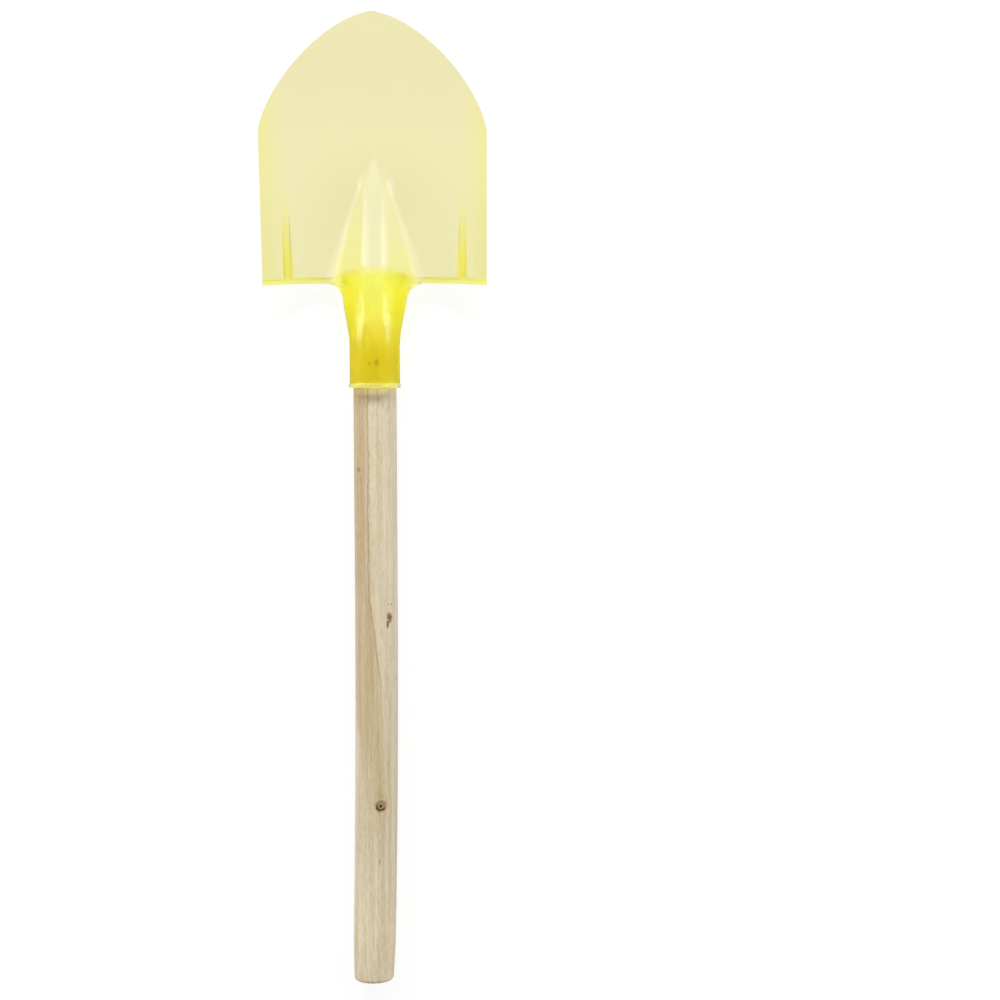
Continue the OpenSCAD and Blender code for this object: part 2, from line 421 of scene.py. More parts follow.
@dataclass(frozen=True)
class ClearPlastic:
    """Clear yellow moulded plastic: it takes blue from the light that goes through it.

    Each region of the head has a tint; some of them are painted highlights, painted light and painted
    shade. A pair of places, in millimetres from the mouth, the tread or the centre line, says where a
    region is off and where it is full.
    """

    name: str = "clear_yellow_plastic"
    kept_per_mm: Colour = (0.996, 0.992, 0.80)
    least_kept: float = 0.02
    lamp_tint: Colour = (0.20, 0.16, 0.05)
    ior: float = 1.33
    gloss_roughness: float = 0.2

    # Haze and gloss
    blade_haze: float = 0.33
    socket_haze: float = 0.75
    lip_haze: float = 0.45
    haze_change: float = 0.05
    blade_gloss: float = 0.15
    socket_gloss: float = 0.08
    lip_gloss: float = 1.0
    streak_gloss: float = 0.9
    streak_at: float = 6.6
    streak_edge: Span = (2.6, 1.2)
    streak_along: Band = (20.0, 27.0, 43.0, 49.0)

    # Relief of the mould: soft waves, cloudiness and grain
    wave_cells: float = 45.0
    cloud_cells: float = 160.0
    grain_cells: float = 2600.0
    cloud_relief: float = 0.04
    grain_relief: float = 0.004
    relief_strength: float = 0.35
    relief_height: float = 0.0006

    # Blade, from the tread to the tip, with painted light near the tread
    # The blade is lighter near the tread and darker towards the tip: painted light
    near_painted_light: Colour = (0.91, 0.873, 0.675)
    blade_tint: Colour = (0.835, 0.79, 0.615)
    near_light_fade: Span = (0.0, 120.0)
    side_tint: Colour = (0.87, 0.825, 0.49)
    side_from: Span = (43.0, 57.0)
    strip_tint: Colour = (0.97, 0.955, 0.59)
    strip_top: Span = (3.0, 2.0)
    strip_from: Span = (23.5, 28.0)

    # Ribs
    rib_tint: Colour = (0.925, 0.87, 0.285)
    rib_lean: float = 0.06
    rib_inner: Span = (40.2, 42.8)
    rib_outer: Span = (48.3, 46.4)
    rib_end: float = 48.0
    rib_fade: float = 36.0

    # Ridge: flanks with a painted light left flank, a crest with painted shade between two painted
    # highlight streaks, and feet with painted highlight bands
    ridge_tint: Colour = (0.965, 0.945, 0.72)
    ridge_half: float = 25.0
    ridge_taper: float = 0.4
    ridge_edge: Span = (-2.0, 3.0)
    # The left flank lighter than the right: painted light
    left_flank_painted_light: Colour = (1.0, 0.985, 0.725)
    left_lit_flank: Span = (-5.0, -7.5)
    low_flank_tint: Colour = (1.0, 1.0, 0.85)
    low_flank_far: Span = (34.0, 8.0)
    low_flank_top: Span = (6.0, 8.0)
    low_flank_foot: Span = (1.0, 5.0)
    # A darker middle of the crest, between the two streaks: painted shade
    crest_painted_shade: Colour = (0.93, 0.91, 0.755)
    crest_at: float = 0.9
    crest_shade_edge: Span = (7.2, 5.8)
    # Two pale streaks on the crest's shoulders: painted highlights
    crest_painted_highlight: Colour = (0.97, 0.955, 0.82)
    crest_highlight_at: float = 4.9
    crest_highlight_spread: float = 0.13
    crest_highlight_bend: float = 33.0
    crest_highlight_edge: Span = (2.9, 1.5)
    crest_highlight_far: Span = (56.0, 48.0)
    # Pale bands along the ridge's feet, fading out towards the tip: painted highlights
    foot_painted_highlight: Colour = (0.965, 0.935, 0.79)
    foot_share: float = 0.9
    foot_highlight_half: float = 25.2
    foot_highlight_taper: float = 0.375
    foot_highlight_edge: Span = (2.4, 0.7)
    foot_highlight_far: Span = (52.0, 22.0)

    # Socket, under an arch that drops to its sides, with painted shade at its sides near the mouth and
    # along the bead's underside
    arch_bend: float = 0.016
    socket_top: Span = (7.3, 5.4)
    socket_side: Span = (30.0, 22.0)
    haze_top: Span = (10.0, 6.8)
    socket_tint: Colour = (0.965, 0.975, 0.72)
    mouth_tint: Colour = (0.975, 0.96, 0.165)
    deep_from: Span = (36.0, 14.0)
    deep_side: Span = (7.0, 13.0)
    deep_side_share: float = 0.45
    throat_tint: Colour = (0.965, 0.975, 0.56)
    throat_from: Span = (46.0, 52.0)
    throat_half: Span = (13.0, 9.0)
    throat_side: Span = (12.0, 16.0)
    throat_side_share: float = 0.8
    # Darker at the socket's sides near the mouth: painted shade
    tube_side_painted_shade: Colour = (0.89, 0.855, 0.44)
    tube_side: Span = (8.0, 12.5)
    tube_shade_far: Span = (48.0, 30.0)
    lip_tint: Colour = (1.0, 1.0, 0.75)
    lip_end: Span = (2.9, 2.2)
    # A dark line along the bead's underside at the mouth: painted shade
    rim_painted_shade: Colour = (0.80, 0.74, 0.42)
    rim_shade_end: Span = (0.8, 0.2)

    # Flecks in the front of the socket
    fleck_tint: Colour = (0.72, 0.70, 0.42)
    fleck_edge: Span = (1.3, 0.4)
    fleck_front: Span = (0.0, 4.0)
    flecks: tuple[Mark, ...] = (Mark(-2.1, 12.4, 0.7, 0.8), Mark(1.6, 12.9, 1.1, 1.8))

    def build(self, seat: Seat, tread: float) -> bpy.types.Material:
        """The material: soft gloss with slight mould waves over a tinted body.

        Args:
            seat: Where the head lies.
            tread: Distance of the tread edge from the mouth, in millimetres.

        Returns:
            The plastic's material.
        """
        material, board = new_material(self.name)
        spot = Spot.read(board, seat)
        here = board.place()
        waves = board.noise(here, self.wave_cells, detail=1.0)
        clouds = board.noise(here, self.cloud_cells, detail=3.0, rough=0.6)
        grain = board.noise(here, self.grain_cells)
        relief = waves + self.cloud_relief * clouds + self.grain_relief * grain
        past_tread = spot.along - tread
        aside = spot.across.size()
        arch = past_tread + self.arch_bend * aside * aside
        between_sides = aside.step(*self.socket_side)
        socket = arch.step(*self.socket_top) * between_sides
        lip = spot.along.step(*self.lip_end)
        tint = self._blade_tint(board, spot.across, past_tread, socket)
        tint = board.blend(socket, tint, self._tube_tint(board, spot.along, aside, lip))
        tint = self._flecked(board, tint, spot)
        haze = mix(self.blade_haze, self.socket_haze, arch.step(*self.haze_top) * between_sides)
        haze = haze + (self.lip_haze - self.socket_haze) * lip
        streak = (aside - self.streak_at).size().step(*self.streak_edge)
        streak = streak * spot.along.band(self.streak_along)
        gloss = mix(self.blade_gloss, self.socket_gloss, socket) + self.streak_gloss * streak
        gloss = gloss + (self.lip_gloss - self.socket_gloss) * lip
        plastic = board.node(
            "ShaderNodeBsdfPrincipled",
            None,
            {
                "Base Color": tint,
                "Roughness": haze + self.haze_change * (clouds - 0.5),
                "IOR": self.ior,
                "Transmission Weight": 1.0,
                "Coat Weight": gloss,
                "Coat Roughness": self.gloss_roughness,
                "Normal": board.bump(relief, self.relief_strength, self.relief_height),
            },
        )
        clear = board.node("ShaderNodeBsdfTransparent", None, {"Color": (*self.lamp_tint, 1.0)})
        lamp_ray = board.rays("Is Shadow Ray")
        surface = board.node("ShaderNodeMixShader", None, {0: lamp_ray, 1: plastic, 2: clear})
        board.node("ShaderNodeOutputMaterial", None, {"Surface": surface, "Volume": self._body(board)})
        return material

    def _body(self, board: NodeBoard) -> Signal:
        """Absorption inside the wall, from what a millimetre lets through.

        Args:
            board: The plastic's node board.

        Returns:
            The volume shader.
        """
        loss = [-math.log(kept) / MM for kept in self.kept_per_mm]
        density = max(loss) / (1 - self.least_kept)
        colour = (*(1 - part / density for part in loss), 1.0)
        return board.node("ShaderNodeVolumeAbsorption", None, {"Color": colour, "Density": density})

    def _blade_tint(self, board: NodeBoard, across: Signal, past_tread: Signal, socket: Signal) -> Signal:
        """Tint of the blade with its sides, ribs, ridge and tread.

        Args:
            board: The plastic's node board.
            across: Distance to the right of the centre line, in millimetres.
            past_tread: Distance ahead of the tread edge.
            socket: 1 on the socket and 0 on the blade.

        Returns:
            The tint's colour.
        """
        aside = across.size()
        rib = (aside - self.rib_lean * past_tread).step(*self.rib_inner) * aside.step(*self.rib_outer)
        rib = rib * ((self.rib_end - past_tread) / self.rib_fade).least(1.0).most(0.0)
        strip = past_tread.step(*self.strip_top) * (1 - socket) * aside.step(*self.strip_from)
        tint = board.layers(
            self.near_painted_light,
            (past_tread.step(*self.near_light_fade), self.blade_tint),
            (aside.step(*self.side_from), self.side_tint),
            (rib, self.rib_tint),
        )
        tint = self._ridge_tint(board, tint, across, past_tread)
        return board.blend(strip, tint, self.strip_tint)

    def _ridge_tint(self, board: NodeBoard, tint: Signal, across: Signal, past_tread: Signal) -> Signal:
        """The blade's tint with the ridge on it.

        Args:
            board: The plastic's node board.
            tint: The tint without the ridge.
            across: Distance to the right of the centre line, in millimetres.
            past_tread: Distance ahead of the tread edge.

        Returns:
            The tint with it.
        """
        aside = across.size()
        ridge = (self.ridge_half - self.ridge_taper * past_tread - aside).step(*self.ridge_edge)
        inside = self.foot_highlight_half - self.foot_highlight_taper * past_tread - aside
        from_crest = (across - self.crest_at).size()
        low = past_tread.step(*self.low_flank_far) * inside.step(*self.low_flank_foot)
        # Painted highlight bands along the ridge's feet
        foot = inside.size().step(*self.foot_highlight_edge) * past_tread.step(*self.foot_highlight_far)
        # Painted highlight streaks along the crest's shoulders
        bent_out = (past_tread - self.crest_highlight_bend).most(0.0)
        from_crest_highlight = (from_crest - (self.crest_highlight_at + self.crest_highlight_spread * bent_out)).size()
        streak = from_crest_highlight.step(*self.crest_highlight_edge) * past_tread.step(*self.crest_highlight_far)
        return board.layers(
            tint,
            (ridge, self.ridge_tint),
            (ridge * across.step(*self.left_lit_flank), self.left_flank_painted_light),
            (ridge * from_crest.step(*self.crest_shade_edge), self.crest_painted_shade),
            (low * from_crest.step(*self.low_flank_top), self.low_flank_tint, "MULTIPLY"),
            (self.foot_share * foot, self.foot_painted_highlight),
            (streak, self.crest_painted_highlight),
        )

    def _tube_tint(self, board: NodeBoard, past_mouth: Signal, aside: Signal, lip: Signal) -> Signal:
        """Tint of the socket.

        Args:
            board: The plastic's node board.
            past_mouth: Distance ahead of the socket's mouth, in millimetres.
            aside: Distance from the centre line.
            lip: 1 on the bead round the mouth.

        Returns:
            The tint's colour.
        """
        throat = past_mouth.step(*self.throat_from)
        clear_side = self.throat_side_share * throat * aside.step(*self.throat_side)
        sides = self.deep_side_share * aside.step(*self.deep_side) * (1 - clear_side)
        beside = aside.step(*self.tube_side) * past_mouth.step(*self.tube_shade_far)
        return board.layers(
            self.socket_tint,
            (past_mouth.step(*self.deep_from).most(sides), self.mouth_tint),
            (throat * aside.step(*self.throat_half), self.throat_tint),
            # Painted shade at the socket's sides near the mouth
            (beside, self.tube_side_painted_shade, "MULTIPLY"),
            (lip, self.lip_tint),
            # Painted shade along the bead's underside at the mouth
            (past_mouth.step(*self.rim_shade_end), self.rim_painted_shade),
        )

    def _flecked(self, board: NodeBoard, tint: Signal, spot: Spot) -> Signal:
        """The tint with the small dark flecks.

        Args:
            board: The plastic's node board.
            tint: The tint without them.
            spot: The surface's place.

        Returns:
            The tint with them.
        """
        for fleck in self.flecks:
            right, ahead = fleck.offset(spot)
            share = (right * right + ahead * ahead).step(*self.fleck_edge) * spot.up.step(*self.fleck_front)
            tint = board.blend(share, tint, self.fleck_tint, "MULTIPLY")
        return tint


@dataclass(frozen=True)
class Grain:
    """Noise drawn out along the wood: its cells per millimetre, its finer layers and their strength."""

    across: float
    along: float
    detail: float
    rough: float

    def read(self, board: NodeBoard, spot: Spot) -> Signal:
        """The noise at a place, from 0 to 1."""
        place = board.join(spot.across * self.across, spot.along * self.along, spot.up * self.across)
        return board.noise(place, 1.0, self.detail, self.rough)


@dataclass(frozen=True)
class BareWood:
    """Bare pale wood: short mottled grain, a browner heart side with a dark edge line, and a few knots.

    Places are in millimetres: along the handle from the socket's mouth, which is less than 0 towards the
    free end, and to the right of the axis. A pair says where something is off and where it is full.
    """

    name: str = "bare_wood"

    # Grain
    pale: Colour = linear(219, 207, 180)
    middle: Colour = linear(209, 195, 166)
    deep: Colour = linear(196, 179, 147)
    tone_stops: Point = (0.41, 0.5, 0.59)
    fibres: Grain = Grain(2.6, 0.07, 4.0, 0.62)
    mottle: Grain = Grain(1.5, 0.22, 3.0, 0.65)
    bands: Grain = Grain(0.42, 0.012, 3.0, 0.55)
    pores: Grain = Grain(6.0, 0.6, 2.0, 0.6)
    fibre_share: float = 0.45
    band_share: float = 0.4
    pore: Colour = (0.86, 0.80, 0.72)
    pore_share: float = 0.5
    pore_edge: Span = (0.56, 0.74)
    pore_dent: Span = (0.6, 0.75)
    fibre_relief: float = 0.6
    pore_relief: float = 0.4
    knot_relief: float = 0.4
    relief_strength: float = 0.35
    relief_height: float = 0.00025
    roughness: float = 0.6
    fibre_roughness: float = 0.18
    knot_gloss: float = 0.12
    specular: float = 0.35

    # Swaying lines: how far they sway, cells per millimetre, where the noise is read, and its detail
    sways: tuple[tuple[float, float, float, float], ...] = ((2.6, 0.05, 5.3, 3.0), (1.1, 0.28, 2.1, 2.0))

    # Heart side on the left, with its edge line, an olive near part and two rosy stripes
    heart: Colour = (0.868, 0.81, 0.705)
    heart_edge: float = 3.3
    heart_shifts: tuple[tuple[float, Span], ...] = ((4.8, (-100.0, -150.0)), (4.5, (-140.0, -200.0)))
    heart_softness: Span = (0.8, 3.0)
    heart_softens: Span = (-110.0, -170.0)
    heart_left: float = 14.0
    heart_left_shift: float = 12.0
    heart_left_shifts: Span = (-140.0, -215.0)
    heart_left_sway: float = 1.5
    heart_left_edge: Span = (-4.5, 3.5)
    heart_end: Span = (-250.0, -205.0)
    heart_inside: Span = (0.0, 5.0)
    heart_inside_loss: float = 0.6
    heart_line: Colour = (0.74, 0.66, 0.52)
    line_edge: Span = (0.75, 0.2)
    line_end: Span = (-165.0, -140.0)
    line_broken: Span = (0.36, 0.56)
    line_inside: Span = (-1.0, 4.0)
    line_inside_loss: float = 0.8
    olive: Colour = (0.94, 0.943, 0.865)
    near_from: Span = (-112.0, -80.0)
    stripe_sway: float = 0.3
    mauve: Colour = (1.01, 0.925, 1.04)
    mauve_at: float = -7.9
    mauve_edge: Span = (1.7, 0.5)
    mauve_far_share: float = 0.6
    pink: Colour = (1.13, 1.10, 1.34)
    pink_at: float = -4.4
    pink_edge: Span = (1.2, 0.4)
    grey_side: Colour = (0.90, 0.905, 0.95)
    grey_from: Span = (4.0, 9.5)

    # Ends: lighter towards the free end, painted light on the wood under the lip at the mouth, and the end
    # inside the socket with painted shade on its tip and painted light on its dome
    lighter_free_end: Colour = (1.12, 1.115, 1.10)
    lighter_end_from: Span = (-225.0, -290.0)
    # A paler ring on the wood under the lip, seen through the bead: painted light
    under_lip_painted_light: Colour = (0.97, 0.95, 0.90)
    under_lip_light_share: float = 0.85
    under_lip_light_along: Band = (-0.4, 0.3, 2.6, 3.6)
    ring_pale: Colour = linear(236, 218, 184)
    ring_dark: Colour = linear(208, 184, 146)
    ring_heart: Span = (-15.0, -9.0)
    rings_per_mm: float = 4.2
    end_share: float = 0.8
    free_end_edge: Span = (2.2, 0.6)
    inner_end_edge: Span = (33.0, 33.8)
    # Darker tip of the end inside the socket: painted shade
    inner_tip_painted_shade: Colour = (0.74, 0.72, 0.74)
    inner_tip_shade_from: Span = (26.5, 31.0)
    # Lighter band on the dome of the end inside the socket: painted light
    inner_dome_painted_light: Colour = (1.06, 1.08, 1.05)
    inner_dome_light_along: Band = (15.0, 20.0, 26.0, 28.5)

    # Knots
    knot: Colour = linear(138, 110, 70)
    core: Colour = linear(48, 29, 14)
    ragged: float = 1.5
    ragged_cells: float = 1.2
    ragged_stretch: float = 0.7
    knot_front: Span = (0.0, 2.0)
    knot_edge: Span = (1.15, 0.7)
    knot_core: Span = (0.35, 0.05)
    knot_core_share: float = 0.6
    ring_ragged: float = 0.7
    ring_edge: Span = (1.5, 0.9)
    ring_share: float = 0.75
    ring_band: Band = (0.5, 0.8, 0.95, 1.2)
    ring_open: Span = (0.7, -0.4)
    ring_lean: float = 0.4
    ring_core: Span = (0.4, 0.24)
    ring_core_ragged: float = 0.2
    knot_push: float = 0.7
    knot_reach: float = 0.45
    knots: tuple[Knot, ...] = (
        Knot(7.05, -117.1, 1.3, 2.9, 1.0),
        Knot(6.2, -120.4, 0.6, 2.2, 1.5),
        Knot(6.46, -110.4, 0.5, 0.55, 0.6),
        Knot(8.0, -110.4, 0.5, 0.55, 0.6),
        Knot(2.1, -214.5, 2.4, 2.6, 1.0, True),
        Knot(2.6, -211.8, 0.4, 0.5, 0.9),
        Knot(3.7, -213.0, 0.9, 1.8, 0.6),
        Knot(2.6, -209.6, 1.3, 1.6, 0.25),
        Knot(1.25, -243.5, 0.4, 1.6, 0.5),
        Knot(-8.3, -41.6, 0.9, 1.5, 0.6),
    )

    def build(self, seat: Seat, free_end: float) -> bpy.types.Material:
        """The material.

        Args:
            seat: Where the handle lies.
            free_end: Distance of the handle's free end from the mouth, in millimetres.

        Returns:
            The wood's material.
        """
        material, board = new_material(self.name)
        spot = Spot.read(board, seat)
        along = spot.along
        knot_colour, knotty, drift = self._knots(board, spot)
        bent = Spot(spot.across + drift, along, spot.up)
        kinds = (self.fibres, self.mottle, self.pores)
        fibres, mottle, pores = (kind.read(board, bent) for kind in kinds)
        fine = self.fibre_share * fibres + (1 - self.fibre_share) * mottle
        free = along.step(*(edge - free_end for edge in self.free_end_edge))
        ends = free.most(along.step(*self.inner_end_edge))
        colour = board.layers(
            self._grain(board, bent, fine),
            (self.pore_share * pores.step(*self.pore_edge), self.pore, "MULTIPLY"),
            (knotty, knot_colour),
            # Lighter towards the free end
            (along.step(*self.lighter_end_from), self.lighter_free_end, "MULTIPLY"),
            # Painted light on the wood under the lip at the mouth
            (self.under_lip_light_share * along.band(self.under_lip_light_along), self.under_lip_painted_light),
            (self.end_share * ends, self._end_grain(board, spot)),
            # Painted shade on the tip of the end in the socket
            (along.step(*self.inner_tip_shade_from), self.inner_tip_painted_shade, "MULTIPLY"),
            # Painted light on the dome of the end in the socket
            (along.band(self.inner_dome_light_along), self.inner_dome_painted_light, "MULTIPLY"),
        )
        relief = self.fibre_relief * fibres + self.pore_relief * (1 - pores.step(*self.pore_dent))
        relief = relief - self.knot_relief * knotty
        roughness = self.roughness + self.fibre_roughness * (fibres - 0.5) - self.knot_gloss * knotty
        surface = board.node(
            "ShaderNodeBsdfPrincipled",
            None,
            {
                "Base Color": colour,
                "Roughness": roughness,
                "Specular IOR Level": self.specular,
                "Normal": board.bump(relief, self.relief_strength, self.relief_height),
            },
        )
        board.node("ShaderNodeOutputMaterial", None, {"Surface": surface})
        return material

    def _sway(self, board: NodeBoard, along: Signal) -> Signal:
        """How far to the right lines along the grain sway, in millimetres.

        Args:
            board: The wood's node board.
            along: Distance ahead of the mouth, in millimetres.

        Returns:
            The sway.
        """
        parts = []
        for reach, cells, start, detail in self.sways:
            parts.append(reach * (board.noise(board.join(along * cells, start, 0.0), 1.0, detail) - 0.5))
        return reduce(Signal.__add__, parts)

    def _grain(self, board: NodeBoard, bent: Spot, fine: Signal) -> Signal:
        """Colour of the wood without its knots.

        Args:
            board: The wood's node board.
            bent: The surface's place, as the grain runs.
            fine: Fine grain, round 0.5.

        Returns:
            The colour.
        """
        across, along = bent.across, bent.along
        bands = self.bands.read(board, bent)
        tones = tuple(zip(self.tone_stops, (self.deep, self.middle, self.pale)))
        tone = self.band_share * bands + (1 - self.band_share) * fine
        grain = board.node("ShaderNodeValToRGB", {"stops": tones}, {0: tone})
        sway = self._sway(board, along)
        line = across + sway + self.heart_edge
        for shift, places in self.heart_shifts:
            line = line - shift * along.step(*places)
        left = across + self.heart_left - self.heart_left_shift * along.step(*self.heart_left_shifts)
        left = left + self.heart_left_sway * sway
        heart = (line / mix(*self.heart_softness, along.step(*self.heart_softens))).step(1.0, -1.0)
        heart = heart * left.step(*self.heart_left_edge) * along.step(*self.heart_end)
        heart = heart * (1 - self.heart_inside_loss * along.step(*self.heart_inside))
        near = heart * along.step(*self.near_from)
        stripe = across + self.stripe_sway * sway
        mauve = (near + self.mauve_far_share * heart).least(1.0)
        edge = line.size().step(*self.line_edge) * along.step(*self.line_end) * fine.step(*self.line_broken)
        edge = edge * (1 - self.line_inside_loss * along.step(*self.line_inside))
        tints = (
            (heart, self.heart),
            (near, self.olive),
            (mauve * (stripe - self.mauve_at).size().step(*self.mauve_edge), self.mauve),
            (near * (stripe - self.pink_at).size().step(*self.pink_edge), self.pink),
            (across.step(*self.grey_from), self.grey_side),
            (edge, self.heart_line),
        )
        return board.layers(grain, *((share, tint, "MULTIPLY") for share, tint in tints))

    def _knots(self, board: NodeBoard, spot: Spot) -> tuple[Signal, Signal, Signal]:
        """Draws the knots on the front.

        Args:
            board: The wood's node board.
            spot: The surface's place.

        Returns:
            The knots' colour, their mask, and how far the grain is pushed aside round them.
        """
        front = spot.up.step(*self.knot_front)
        place = board.join(spot.across, spot.along * self.ragged_stretch, spot.up)
        ragged = self.ragged * (board.noise(place, self.ragged_cells, detail=3.0, rough=0.6) - 0.5)
        masks, cores, pushes = [], [], []
        for knot in self.knots:
            right, ahead = knot.offset(spot)
            far = (right * right + ahead * ahead).root()
            if knot.ring:
                rough = far + self.ring_ragged * ragged
                rim = rough.band(self.ring_band) * (right * self.ring_lean + ahead).step(*self.ring_open)
                core = (far + self.ring_core_ragged * ragged).step(*self.ring_core).most(rim) * front
                mask = core.most(self.ring_share * rough.step(*self.ring_edge) * front)
            else:
                rough = far + ragged
                mask = rough.step(*self.knot_edge) * front * knot.dark
                core = rough.step(*self.knot_core) * front * (self.knot_core_share * knot.dark)
            masks.append(mask)
            cores.append(core)
            pushes.append((far * far * -self.knot_reach).exp() * right * (-self.knot_push * knot.wide))
        colour = board.blend(reduce(Signal.most, cores), self.knot, self.core)
        return colour, reduce(Signal.most, masks), reduce(Signal.__add__, pushes)

    def _end_grain(self, board: NodeBoard, spot: Spot) -> Signal:
        """Growth rings on the cut ends, round a heart that lies outside the handle.

        Args:
            board: The wood's node board.
            spot: The surface's place.

        Returns:
            The rings' colour.
        """
        right, high = spot.across - self.ring_heart[0], spot.up - self.ring_heart[1]
        rings = ((right * right + high * high).root() * self.rings_per_mm).sine()
        return board.blend(0.5 + 0.5 * rings, self.ring_pale, self.ring_dark)


@dataclass(frozen=True)
class PlatedSteel:
    """Bright zinc-plated steel of a small screw, with fine turning marks and a patchy lustre."""

    name: str = "screw_steel"
    colour: Colour = (0.62, 0.62, 0.60)
    stain: Colour = (0.52, 0.50, 0.44)
    stain_edge: Span = (0.45, 0.7)
    patch_cells: float = 900.0
    mark_cells: float = 3000.0
    mark_stretch: Point = (0.2, 0.2, 9.0)
    mark_strength: float = 0.2
    mark_height: float = 0.00004
    roughness: float = 0.26
    patch_roughness: float = 0.22

    def build(self) -> bpy.types.Material:
        """The material.

        Returns:
            The steel's material.
        """
        material, board = new_material(self.name)
        here = board.place()
        patches = board.noise(here, self.patch_cells, detail=3.0, rough=0.6)
        drawn_out = board.join(*(part * size for part, size in zip(board.split(here), self.mark_stretch)))
        marks = board.noise(drawn_out, self.mark_cells)
        surface = board.node(
            "ShaderNodeBsdfPrincipled",
            None,
            {
                "Base Color": board.blend(patches.step(*self.stain_edge), self.colour, self.stain),
                "Metallic": 1.0,
                "Roughness": self.roughness + self.patch_roughness * patches,
                "Normal": board.bump(marks, self.mark_strength, self.mark_height),
            },
        )
        board.node("ShaderNodeOutputMaterial", None, {"Surface": surface})
        return material


@dataclass
class Shell:
    """A mesh that grows from grids of points, whose shared borders are then joined."""

    points: list[Point] = field(default_factory=list)
    faces: list[tuple[int, ...]] = field(default_factory=list)

    def grid(self, rows: Sequence[Sequence[Point]], closed: bool = False) -> None:
        """Adds a grid of four-sided faces.

        Args:
            rows: Rows of points, all of one length.
            closed: Whether each row runs round to its start.
        """
        start = len(self.points)
        size = len(rows[0])
        for row in rows:
            self.points.extend(row)
        for j in range(len(rows) - 1):
            for i in range(size if closed else size - 1):
                a = start + j * size + i
                b = start + j * size + (i + 1) % size
                self.faces.append((a, b, b + size, a + size))

    def cap(self, row: Sequence[Point], flip: bool) -> None:
        """Closes a row with one face.

        Args:
            row: The points round the opening.
            flip: Whether the face is turned over.
        """
        start = len(self.points)
        self.points.extend(row)
        order = tuple(range(start, start + len(row)))
        self.faces.append(order[::-1] if flip else order)

    def bar(self, rings: Sequence[Sequence[Point]]) -> "Shell":
        """Adds rings in a row, closed at both ends.

        Args:
            rings: The rings from one end to the other, all of one length.

        Returns:
            The shell itself.
        """
        self.grid(rings, closed=True)
        self.cap(rings[0], flip=False)
        self.cap(rings[-1], flip=True)
        return self

    def mesh(self, name: str) -> bpy.types.Mesh:
        """Makes the mesh, with its borders joined and its faces turned outward.

        Args:
            name: The mesh's name.

        Returns:
            The mesh, still in the handle's own axes.
        """
        mesh = bpy.data.meshes.new(name)
        mesh.from_pydata(self.points, [], self.faces)
        work = bmesh.new()
        work.from_mesh(mesh)
        bmesh.ops.remove_doubles(work, verts=work.verts[:], dist=WELD_MM)
        bmesh.ops.dissolve_degenerate(work, edges=work.edges[:], dist=WELD_MM)
        bmesh.ops.recalc_face_normals(work, faces=work.faces[:])
        open_edges = sum(1 for edge in work.edges if not edge.is_manifold)
        if open_edges:
            LOG.warning("%s has %d open edges", name, open_edges)
        work.to_mesh(mesh)
        work.free()
        return mesh


class Join(Enum):
    """How a tool's mesh changes a piece."""

    ADD = "UNION"
    CUT = "DIFFERENCE"


def new_object(name: str, data: Any) -> bpy.types.Object:
    """Puts a mesh, lamp or camera in the scene.

    Args:
        name: The object's name.
        data: What the object shows.

    Returns:
        The object.
    """
    made = bpy.data.objects.new(name, data)
    bpy.context.scene.collection.objects.link(made)
    return made


def combine(piece: bpy.types.Object, *tools: tuple[Join, bpy.types.Mesh]) -> None:
    """Joins or cuts a piece with other closed meshes.

    Args:
        piece: The object whose mesh is changed.
        tools: Each tool's mesh, with what it does.
    """
    helpers: list[bpy.types.Object] = []
    for number, (way, mesh) in enumerate(tools):
        helpers.append(new_object(f"{piece.name}.tool{number}", mesh))
        modifier = piece.modifiers.new(f"tool{number}", "BOOLEAN")
        modifier.operation = way.value
        modifier.solver = "MANIFOLD"
        modifier.object = helpers[-1]
    bpy.context.view_layer.update()
    changed = bpy.data.meshes.new_from_object(piece.evaluated_get(bpy.context.evaluated_depsgraph_get()))
    piece.modifiers.clear()
    old = [piece.data, *(helper.data for helper in helpers)]
    piece.data = changed
    for helper in helpers:
        bpy.data.objects.remove(helper)
    for mesh in old:
        bpy.data.meshes.remove(mesh)


def settle(
    piece: bpy.types.Object,
    seat: Seat,
    material: bpy.types.Material,
    node: str,
    crease: float = 35.0,
) -> None:
    """Lays a finished piece in its place and ties it to the frame.

    Args:
        piece: The piece, drawn in the handle's own axes.
        seat: Where the shovel lies.
        material: The piece's finish.
        node: The frame's node that the piece stands for.
        crease: Angle in degrees over which an edge stays sharp.
    """
    piece.data.transform(seat.matrix())
    piece.data.shade_smooth()
    piece.data.set_sharp_from_angle(angle=math.radians(crease))
    piece.data.materials.clear()
    piece.data.materials.append(material)
    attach(piece, "root")
    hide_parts(node)
    LOG.info("%s: %d faces", piece.name, len(piece.data.polygons))


